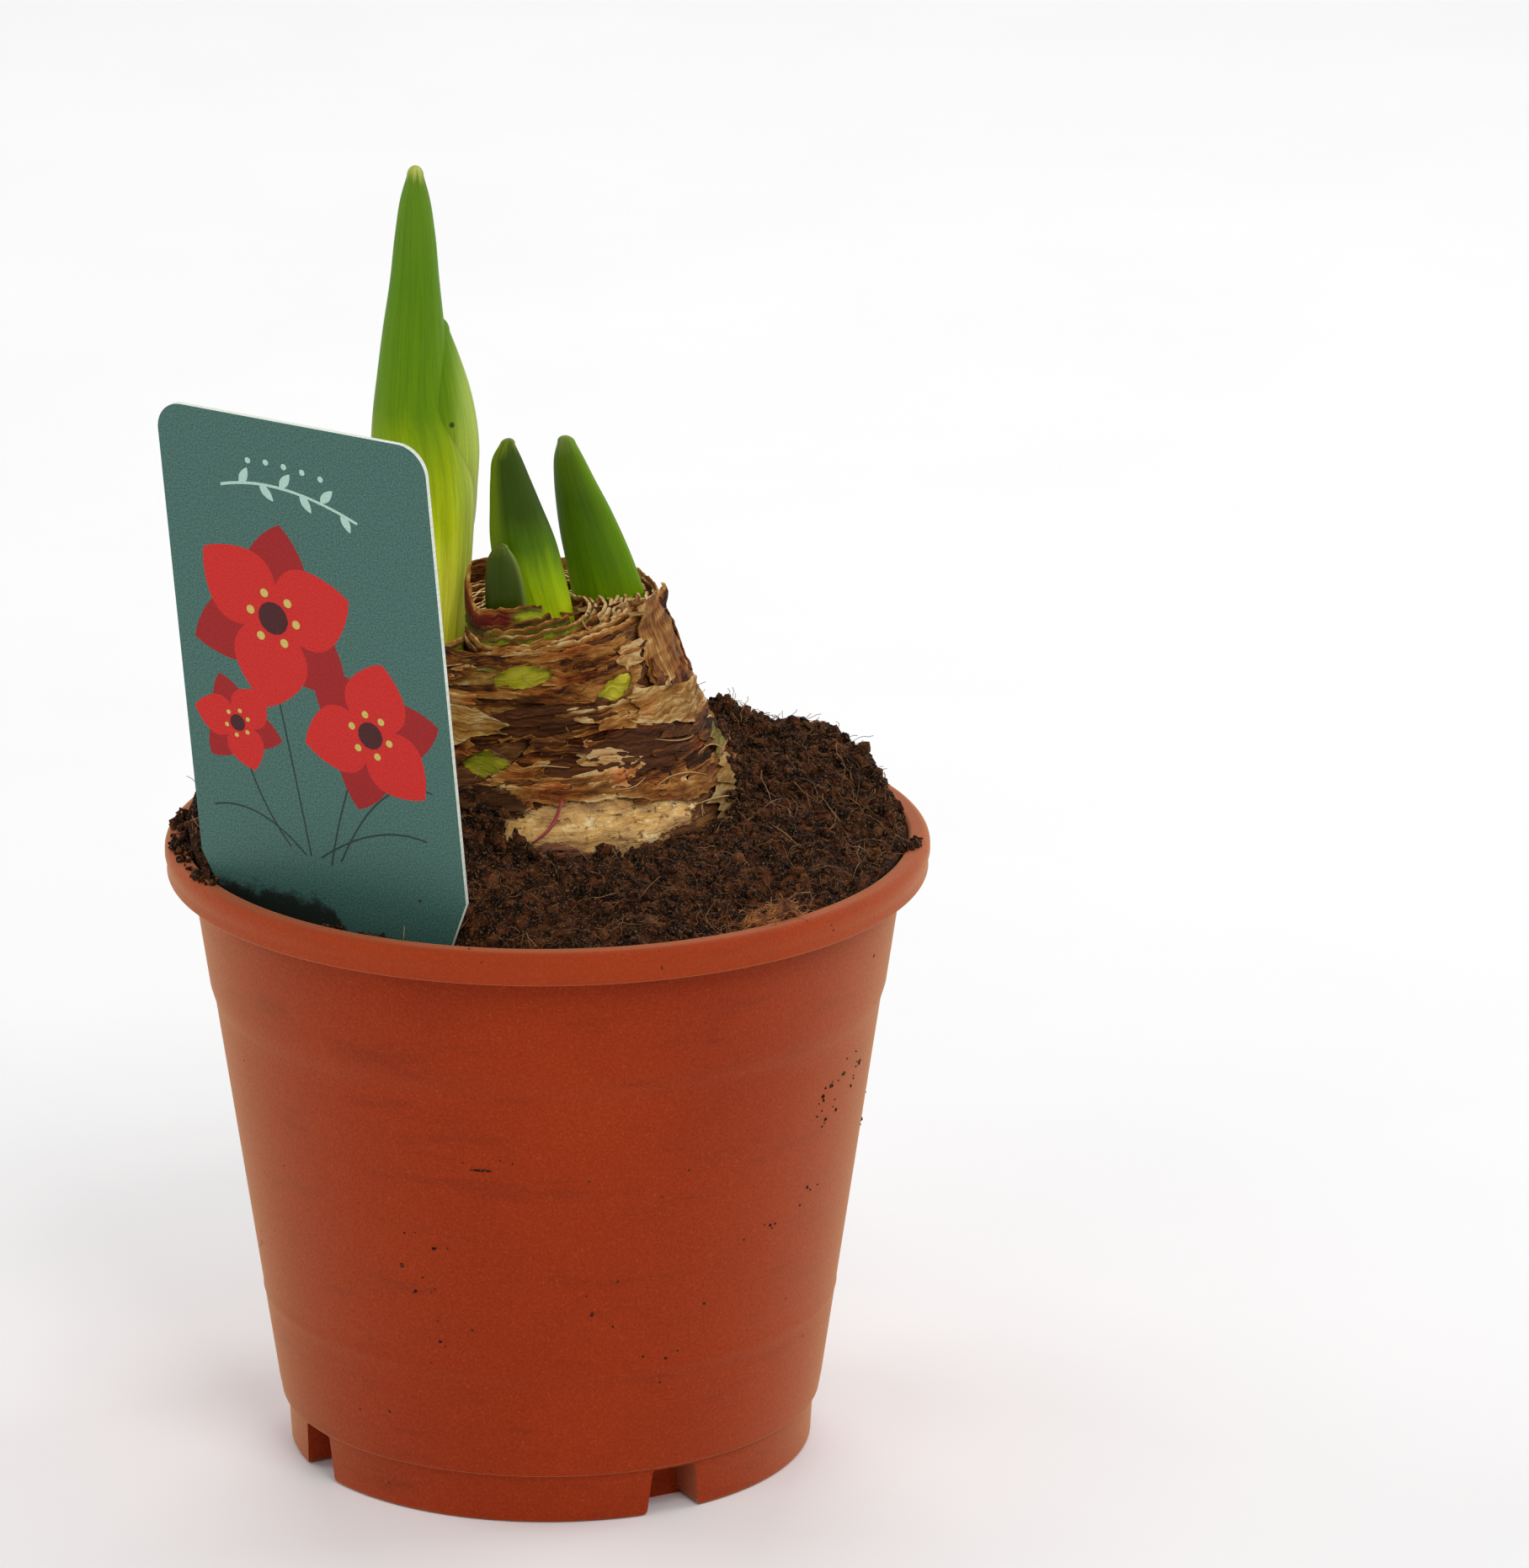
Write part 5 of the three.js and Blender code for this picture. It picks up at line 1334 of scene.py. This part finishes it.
# Angle, height and lift along each thread
THREADS = [
    [(-45, 129.2, 1.6), (-38, 128.2, 2.4), (-30, 127.6, 2.2), (-25, 127.4, 1.6)],
    [(-51, 122.2, 1.2), (-46, 123.6, 2.2), (-38, 123.4, 2.6), (-30, 121.6, 1.4)],
    [(-41, 118.4, 0.8), (-34, 118.8, 2.0), (-27, 118.0, 2.2), (-23, 117.0, 1.0)],
    [(-28, 124.6, 1.4), (-23, 125.8, 3.0), (-18, 124.6, 3.6), (-17, 123.0, 2.6)],
    [(-20, 121.8, 1.0), (-17, 124.0, 3.2), (-12, 124.6, 3.8)],
    [(-104, 144.2, 1.2), (-94, 145.2, 1.8), (-82, 145.4, 1.6)],
    [(-96, 126.6, 1.0), (-88, 127.8, 1.8), (-78, 127.0, 1.4)],
    [(-68, 123.2, 1.0), (-60, 122.8, 2.0), (-54, 124.0, 1.6)],
]
SAP = [(-82, 122.4, 1.5), (-83.5, 120.6, 1.5), (-86, 118.4, 1.2), (-91, 116.2, 0.7)]


def thread(path, radius):
    """A thin rod on the bulb's skin through places given as angle, height and lift."""
    t = np.linspace(0, 1, 24)
    stops = np.asarray(path, float)
    for _ in range(2):
        nearer, further = (3 * stops[:-1] + stops[1:]) / 4, (stops[:-1] + 3 * stops[1:]) / 4
        stops = np.vstack([stops[:1], nearer, further, stops[-1:]])
        stops = stops[np.argsort(stops[:, 0] * math.copysign(1, path[-1][0] - path[0][0]), kind="stable")]
    angle, height, lift = (np.interp(t, np.linspace(0, 1, len(stops)), values) for values in stops.T)
    taper = radius * (0.35 + 0.65 * np.sin(np.pi * np.linspace(0, 1, len(t))))
    return tube(bulb_point(np.radians(angle), height, lift), taper, 5)


def thread_piece(name, paths, radius, finish):
    piece = new_piece(name, *merged([thread(path, radius) for path in paths]), [finish])
    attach(piece, "root")
    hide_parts("tunic_front")


thread_piece("skin_threads", THREADS, 0.11, thread_finish)
thread_piece("sap_streak", [SAP], 0.32, sap_finish)
fuzz_ground = patch_of(*bulb_shape, lambda middle: 117 < middle[2] < NECK_TOP - 0.5)
fuzz_sizes = strand_sizes(120000.0, 0.0036, 0.0022, 21, 0.00005)
skin_fuzz = grown("skin_fuzz", strands_group(thread_finish), fuzz_ground, thread_finish, **fuzz_sizes)
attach(skin_fuzz, "root")
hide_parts("tunic_front")

# Flower shoot
# The closed bud on its stalk, wrapped in two smooth green bracts, the outer one over the inner one, whose
# belly shows at the right. It is pale yellow-green at its foot and has fine veins along it.
# Its right side is painted paler as a lit side, and a spot of painted shade darkens the crease between the
# bracts.
SHOOT_Y = 2.0
SHOOT_DEPTH = 0.8
SPROUT_SIDES = 72
SPROUT_RINGS = 90
OUTER_BRACT = [
    # left edge, right edge and height
    (-27.1, -13.9, 132), (-27.2, -13.8, 139.8), (-27.3, -12.8, 150.5), (-27.8, -12.1, 159.7),
    (-28.7, -11.8, 167.9), (-29.1, -13.1, 175.6), (-28.7, -15.3, 181.4), (-28.0, -16.0, 187.1),
    (-27.0, -16.6, 194.8), (-25.7, -17.4, 203.3), (-24.7, -18.1, 211.9), (-23.7, -19.0, 218.0),
    (-22.7, -19.9, 221.4),
]
OUTER_BRACT_TIP = (-21.3, 223.2)
INNER_BRACT = [
    (-23.6, -15.3, 150.5), (-24.6, -12.1, 160.2), (-25.5, -11.3, 168.4), (-25.5, -11.0, 173.7),
    (-25.0, -11.4, 179.0), (-24.5, -12.4, 184.2), (-23.0, -14.2, 190.0), (-21.5, -15.8, 194.3),
]
INNER_BRACT_TIP = (-18.6, 197.1)
INNER_BRACT_BACK = 1.2


def sprout_table(rows, tip):
    """A sprout's middle, width and height at each ring, smoothly through its rows and on to its round tip."""
    rows = np.asarray(rows, float)
    heights = rows[:, -1]
    ease = np.sin(np.linspace(0, math.pi / 2, SPROUT_RINGS))
    wanted = mix(heights[0], heights[-1] - 0.02, ease)
    slopes = np.gradient(rows, heights, axis=0)
    index = np.clip(np.searchsorted(heights, wanted) - 1, 0, len(rows) - 2)
    step = heights[index + 1] - heights[index]
    t = ((wanted - heights[index]) / step)[:, None]
    step = step[:, None]
    start, end = rows[index], rows[index + 1]
    bends = (t**3 - 2 * t**2 + t) * step * slopes[index] + (t**3 - t**2) * step * slopes[index + 1]
    table = (2 * t**3 - 3 * t**2 + 1) * start + (3 * t**2 - 2 * t**3) * end + bends
    last = table[-1]
    t = np.sin(np.linspace(0, math.pi / 2, 10))[1:-1]
    cap = joined(mix(last[0], tip[0], t), last[1] * np.sqrt(1 - t**2), mix(last[2], tip[1], t))
    return np.vstack([table, cap])


def sprout_part(rings, foot, tip, along):
    """Points and faces of a sprout, closed at its foot and tip, and each point's place along and round it."""
    return *lofted(rings, foot, tip), np.vstack([along.reshape(-1, 3), along[0, 0], along[-1, 0]])


def bract(rows, tip, shift):
    """One bract, whose rows give its left and right edge and height."""
    rows = [((left + right) / 2, right - left, height) for left, right, height in rows]
    angle = circle_angles(SPROUT_SIDES)
    middle, width, height = sprout_table(rows, tip).T[:, :, None]
    y = SHOOT_Y + shift
    rings = joined(middle + width / 2 * np.cos(angle), y + SHOOT_DEPTH * width / 2 * np.sin(angle), height)
    along = joined(np.cos(angle) * 6, np.sin(angle) * 6, height)
    return sprout_part(rings, (rows[0][0], y, rows[0][2] - 0.5), (tip[0], y, tip[1]), along)


def leafy_finish(name, tones, heights, edge, lit_side_tone, whole_width=False):
    """A waxy green with veins lengthwise, whose tones change at the given heights and go paler towards one
    edge, a painted lit side.

    The edge is where the painted light starts and where it is full, across the leaf or across the whole
    plant.
    """
    finish, tree, shader, place = new_finish(name, 0.45, 0.14)
    shader.inputs["Subsurface Weight"].default_value = 0.25
    shader.inputs["Subsurface Radius"].default_value = (0.6, 1.0, 0.2)
    shader.inputs["Subsurface Scale"].default_value = 0.002
    across, _, level = separated(tree, place)
    along = attribute(tree, "along")
    side = across if whole_width else separated(tree, along)[0]
    uneven = math_node(tree, "MULTIPLY_ADD", texture(tree, along, 2.6, 4.0, 0.6, (1, 1, 7.0)), 11.0, level)
    spread = {"Value": uneven, "From Min": heights[0] + 5.5, "From Max": heights[-1] + 5.5}
    tone = add(tree, "ShaderNodeValToRGB", {"Fac": out(add(tree, "ShaderNodeMapRange", spread))})
    elements = tone.color_ramp.elements
    elements[0].color, elements[1].color = srgb(*tones[0]), srgb(*tones[-1])
    for between, height in list(zip(tones, heights))[1:-1]:
        elements.new((height - heights[0]) / (heights[-1] - heights[0])).color = srgb(*between)
    veins = texture(tree, along, 0.4, 3.0, 0.7, (1, 1, 50))
    bands = texture(tree, along, 1.3, 3.0, 0.6, (1, 1, 22))
    colour = layered(
        tree, out(tone),
        # Painted light: a paler, lit side towards one edge
        (ramp(tree, side, *edge), 0.5, lit_side_tone),
        (ramp(tree, veins, 0.42, 0.7), 0.24, (36, 60, 2)),
        (ramp(tree, bands, 0.45, 0.7), 0.2, (50, 82, 2)),
        (ramp(tree, texture(tree, place, 0.3, 2.0), 0.56, 0.7), 0.14, (30, 52, 2)),
    )
    if whole_width:
        # Painted shade: a dark spot in the crease where the outer bract's edge meets the inner bract
        reach = vector_math(tree, "DISTANCE", place, SHOOT_CREASE_SHADE)
        colour = mixed(tree, ramp(tree, reach, 0.7, 0.3), colour, (62, 62, 20))
    paint(tree, shader, colour)
    bump(tree, shader, veins, 0.12)
    return finish


SHOOT_TONES = [
    (240, 240, 50), (255, 250, 80), (196, 210, 0), (104, 142, 0), (92, 136, 6), (100, 138, 24),
    (214, 212, 110),
]
SHOOT_HEIGHTS = [140, 148, 162, 182, 204, 220.5, 223.4]
# Middle of the painted crease shade on the shoot
SHOOT_CREASE_SHADE = (-15.5, -1.9, 179.5)
# Where the shoot's painted lit side starts and where it is full, across the plant
SHOOT_LIT_SIDE = (-16.4, -12.2)
green_shoot = leafy_finish("green_shoot", SHOOT_TONES, SHOOT_HEIGHTS, SHOOT_LIT_SIDE, (206, 222, 110), True)
bracts = [bract(OUTER_BRACT, OUTER_BRACT_TIP, 0), bract(INNER_BRACT, INNER_BRACT_TIP, INNER_BRACT_BACK)]
shoot = new_piece("shoot_bracts", *merged([b[:2] for b in bracts]), [green_shoot], 80)
with_looks(shoot, along=np.vstack([b[2] for b in bracts]))
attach(shoot, "root")
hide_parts("flower_shoot")

# Leaves
# Three young leaves, thick straps with round tips, that have just left the neck: one small, two taller. They
# are dark green at the top and lime at the foot.
LEAF_THICKNESS = 4.2
LEAF_HOLLOW = 0.9
LEAVES = {
    # y, turn in degrees, tip, and rows of middle, width and height
    "leaf_middle": (-2.5, 6, (-6.1, 177.3), [
        (0.6, 9.5, 138.7), (-0.3, 10.2, 145.5), (-2.2, 11.3, 152.3), (-3.8, 10.9, 159.5), (-5.0, 8.6, 165.6),
        (-5.8, 6.8, 169.9), (-6.4, 4.5, 174.3), (-6.3, 2.5, 176.3),
    ]),
    "leaf_right": (4.5, -14, (3.3, 175.7), [
        (10.8, 12.2, 139.9), (10.4, 12.8, 146.7), (9.0, 12.0, 153.0), (7.6, 11.0, 157.9), (6.0, 9.1, 163.6),
        (4.8, 7.2, 167.8), (3.8, 4.9, 172.2), (3.5, 3.1, 174.5),
    ]),
    "leaf_small": (-7.6, 4, (-7.5, 160.5), [
        (-6.2, 6.7, 140.5), (-6.5, 6.9, 147.3), (-6.8, 6.7, 152.1), (-7.1, 5.8, 155.6), (-7.4, 4.3, 158.2),
        (-7.5, 2.5, 159.7),
    ]),
}
# Tones of each leaf by height, and where its painted lit side starts and is full, with its tone
LEAF_TONES = {
    "leaf_middle": (
        [(214, 228, 20), (160, 192, 0), (84, 118, 0), (54, 76, 0), (54, 76, 2), (120, 138, 40)],
        [145, 151, 158, 164, 174, 177.6],
        (-2.0, -5.0), (150, 176, 20),
    ),
    "leaf_right": (
        [(122, 158, 0), (90, 128, 0), (70, 102, 0), (84, 110, 8), (130, 146, 70)],
        [146, 153, 164, 172, 176],
        (2.0, 5.0), (118, 160, 6),
    ),
    "leaf_small": (
        [(60, 72, 0), (54, 66, 2), (60, 74, 4), (96, 108, 30)],
        [148, 152, 158, 160.5],
        (3.4, 4.8), (150, 164, 70),
    ),
}
for name, (y, turn, tip, rows) in LEAVES.items():
    widest = max(width for _, width, _ in rows)
    angle = circle_angles(SPROUT_SIDES)
    centre, width, height = sprout_table(rows, tip).T[:, :, None]
    thickness = LEAF_THICKNESS * np.sqrt(width / widest)
    side = np.cos(angle) * width / 2
    depth = np.sin(angle) * thickness / 2 + LEAF_HOLLOW * np.cos(angle) ** 2 * (width / widest)
    c, s = math.cos(math.radians(turn)), math.sin(math.radians(turn))
    rings = joined(centre + side * c - depth * s, y + side * s + depth * c, height)
    along = joined(np.cos(angle) * 5, np.sin(angle) * 1.6, height)
    points, faces, along = sprout_part(rings, (rows[0][0], y, rows[0][2] - 0.5), (tip[0], y, tip[1]), along)
    leaf = new_piece(name + "_strap", points, faces, [leafy_finish(name + "_green", *LEAF_TONES[name])], 80)
    with_looks(leaf, along=along)
    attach(leaf, "root")
    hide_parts(name)

# Plant label
# A flat printed plastic strip with two round corners, pushed into the peat by its point and leaning forward.
# Its white core shows at the edge. The print is a general one: red blooms, line leaves and a small ornament.
LABEL_WIDTH = 53.4
LABEL_STRAIGHT = 81.3
LABEL_LENGTH = 134.0
LABEL_SHOULDER = 5.0
LABEL_CORNER = 5.2
LABEL_THICKNESS = 0.8
LABEL_LEAN = math.radians(7.85)

label_half = LABEL_WIDTH / 2
label_tip = LABEL_STRAIGHT - LABEL_LENGTH
label_outline = [(-label_half, 0), (-LABEL_SHOULDER, label_tip + LABEL_SHOULDER), (0, label_tip)]
label_outline += [(LABEL_SHOULDER, label_tip + LABEL_SHOULDER), (label_half, 0)]
for middle, start in ((label_half - LABEL_CORNER, 0), (LABEL_CORNER - label_half, 90)):
    corner = (middle, LABEL_STRAIGHT - LABEL_CORNER)
    label_outline += arc(corner, LABEL_CORNER, start, start + 90, 16)


def on_label(flat, depth):
    """Points of the label's plane, across and up, at a depth towards its front, put in their place."""
    flat = np.asarray(flat, float)
    x, up = flat[:, 0], flat[:, 1]
    y = -depth * math.cos(LABEL_LEAN) - up * math.sin(LABEL_LEAN)
    z = up * math.cos(LABEL_LEAN) - depth * math.sin(LABEL_LEAN)
    turned_x = x * math.cos(LABEL_TURN) - y * math.sin(LABEL_TURN)
    turned_y = x * math.sin(LABEL_TURN) + y * math.cos(LABEL_TURN)
    return np.column_stack([turned_x, turned_y, z]) + np.array(LABEL_ANCHOR)


# The print's inks
GROUND, PETAL, DEEP_PETAL, HEART, POLLEN, LINE, MINT, CORE = range(8)
INKS = [
    ("label_ground", (46, 86, 78), (84, 122, 112)),
    ("label_petal", (188, 22, 18), (214, 40, 30)),
    ("label_deep_petal", (140, 14, 18), (170, 26, 24)),
    ("label_heart", (52, 16, 20), (84, 24, 26)),
    ("label_pollen", (190, 168, 76), (214, 196, 110)),
    ("label_line", (26, 44, 40), (44, 64, 56)),
    ("label_mint", (160, 196, 182), (190, 220, 206)),
    ("label_core", (200, 208, 194), (228, 232, 220)),
]


def ink_finish(name, dark, light):
    """A print colour on smooth plastic, a little grainy, with a smudge of peat low on the label."""
    finish, tree, shader, place = new_finish(name, 0.4, 0.25)
    flat_place = attribute(tree, "flat")
    dots = texture(tree, flat_place, 0.32, 2.0, 0.7)
    colour = mixed(tree, ramp(tree, dots, 0.3, 0.72), dark, light)
    across, up, _ = separated(tree, flat_place)
    clean_right = times(tree, ramp(tree, across, -2.0, 6.0), 12.0)
    ragged = texture(tree, flat_place, 2.4, 6.0, 0.8, (1.4, 1, 1))
    edge = math_node(tree, "MULTIPLY_ADD", ragged, -12.0, math_node(tree, "ADD", up, clean_right))
    smudge = times(tree, ramp(tree, edge, -9.8, -12.4), 0.88)
    specks = effect(tree, soil_specks, Place=flat_place, Spacing=1.5, Amount=0.22)
    soil = (specks, ramp(tree, up, 26, 8), SOIL_STAIN)
    paint(tree, shader, layered(tree, colour, (smudge, 1, (30, 26, 22)), soil))
    return finish


def spun(points, angle, x, y):
    """Flat points turned by an angle in degrees and moved."""
    c, s = math.cos(math.radians(angle)), math.sin(math.radians(angle))
    return [(x + px * c - py * s, y + px * s + py * c) for px, py in points]


def petal(length, half_width):
    """A rounded petal that points along X, with a short tip."""
    t = np.linspace(0, 1, 15)
    half = half_width * np.sin(np.pi * t**0.85) ** 0.8
    half[-1] = 0
    upper = list(zip(length * t, half))
    return upper + [(px, -py) for px, py in upper[-2:0:-1]]


def line(path, width):
    """A drawn line of a width along a smooth path."""
    path = np.asarray(path, float)
    t = np.linspace(0, 1, 24)[:, None]
    curve = (1 - t) ** 2 * path[0] + 2 * t * (1 - t) * path[1] + t**2 * path[2]
    along = np.gradient(curve, axis=0)
    side = np.column_stack([-along[:, 1], along[:, 0]]) / np.linalg.norm(along, axis=1)[:, None] * width / 2
    return [tuple(p) for p in np.vstack([curve + side, (curve - side)[::-1]])]


def disc(x, y, radius):
    return arc((x, y), radius, 0, 350, 13)


def bloom(x, y, size, turn):
    """An open bloom seen from the front: six petals in two rows, a dark heart and six stamens."""
    shapes = [(DEEP_PETAL, spun(petal(size, size * 0.36), turn + 60 + 120 * k, x, y)) for k in range(3)]
    shapes += [(PETAL, spun(petal(size * 0.96, size * 0.42), turn + 120 * k, x, y)) for k in range(3)]
    shapes.append((HEART, disc(x, y, size * 0.17)))
    for k in range(6):
        stamen = spun([(size * 0.26, 0)], turn + 25 + 62 * k, x, y)[0]
        shapes.append((POLLEN, disc(*stamen, size * 0.045)))
    return shapes


drawing = [(LINE, line(path, 0.35)) for path in (
    [(-4, 3), (-6, 20), (-9, 42)], [(0, 2), (3, 14), (9, 26)], [(-8, 4), (-16, 14), (-17, 30)],
    [(-2, 3), (10, 12), (20, 10)], [(-5, 3), (-14, 12), (-23, 9)], [(2, 3), (12, 22), (22, 19)],
)]
drawing += bloom(-7.0, 45.5, 17.5, 20) + bloom(10.5, 27.5, 14.5, 75) + bloom(-16.5, 25.0, 9.0, 48)
drawing.append((MINT, line([(-15, 68.2), (-3, 71.8), (12, 65.6)], 0.5)))
drawing += [(MINT, spun(petal(3.6, 0.8), a, x, y)) for x, y, a in (
    (-11, 68.9, 62), (-7, 69.5, -48), (-3, 69.4, 52), (1, 69.0, -58), (5, 68.2, 44), (9, 67.0, -66),
)]
drawing += [(MINT, disc(x, y, 0.55)) for x, y in (
    (-9, 73.4), (-5.4, 73.6), (-1.8, 73.4), (1.8, 73.0), (5.4, 72.4),
)]

# The front face is cut up along the print, so that each ink is a part of one closed body
corners, edges_of = [], []
for _, shape in [(GROUND, label_outline), *drawing]:
    area = sum(a[0] * b[1] - a[1] * b[0] for a, b in zip(shape, shape[1:] + shape[:1]))
    edges_of.append(list(range(len(corners), len(corners) + len(shape))))
    corners += [Vector(corner) for corner in (shape if area > 0 else shape[::-1])]
cut = geometry.delaunay_2d_cdt(corners, [], edges_of, 1, 1e-5)
front_flat = [tuple(corner) for corner in cut[0]]
inks = [([GROUND] + [ink for ink, _ in drawing])[max(origins)] for origins in cut[5]]
front_faces = [tuple(face) for face in cut[2]]
count = len(front_flat)
rim = [min(range(count), key=lambda i: math.dist(front_flat[i], corner)) for corner in label_outline]
points = np.vstack([on_label(front_flat, LABEL_THICKNESS / 2), on_label(label_outline, -LABEL_THICKNESS / 2)])
back = [count + i for i in range(len(rim))]
sides = [(rim[i], rim[i - 1], back[i - 1], back[i]) for i in [*range(1, len(rim)), 0]]
faces = front_faces + sides + [tuple(back[::-1])]
label = new_piece("label_strip", points, faces, [ink_finish(*ink) for ink in INKS], 30)
flat = np.array(front_flat + label_outline)
with_looks(label, flat=joined(flat[:, 0], flat[:, 1], 0))
for polygon in label.data.polygons:
    polygon.material_index = inks[polygon.index] if polygon.index < len(front_faces) else CORE
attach(label, "root")
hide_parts("plant_label")
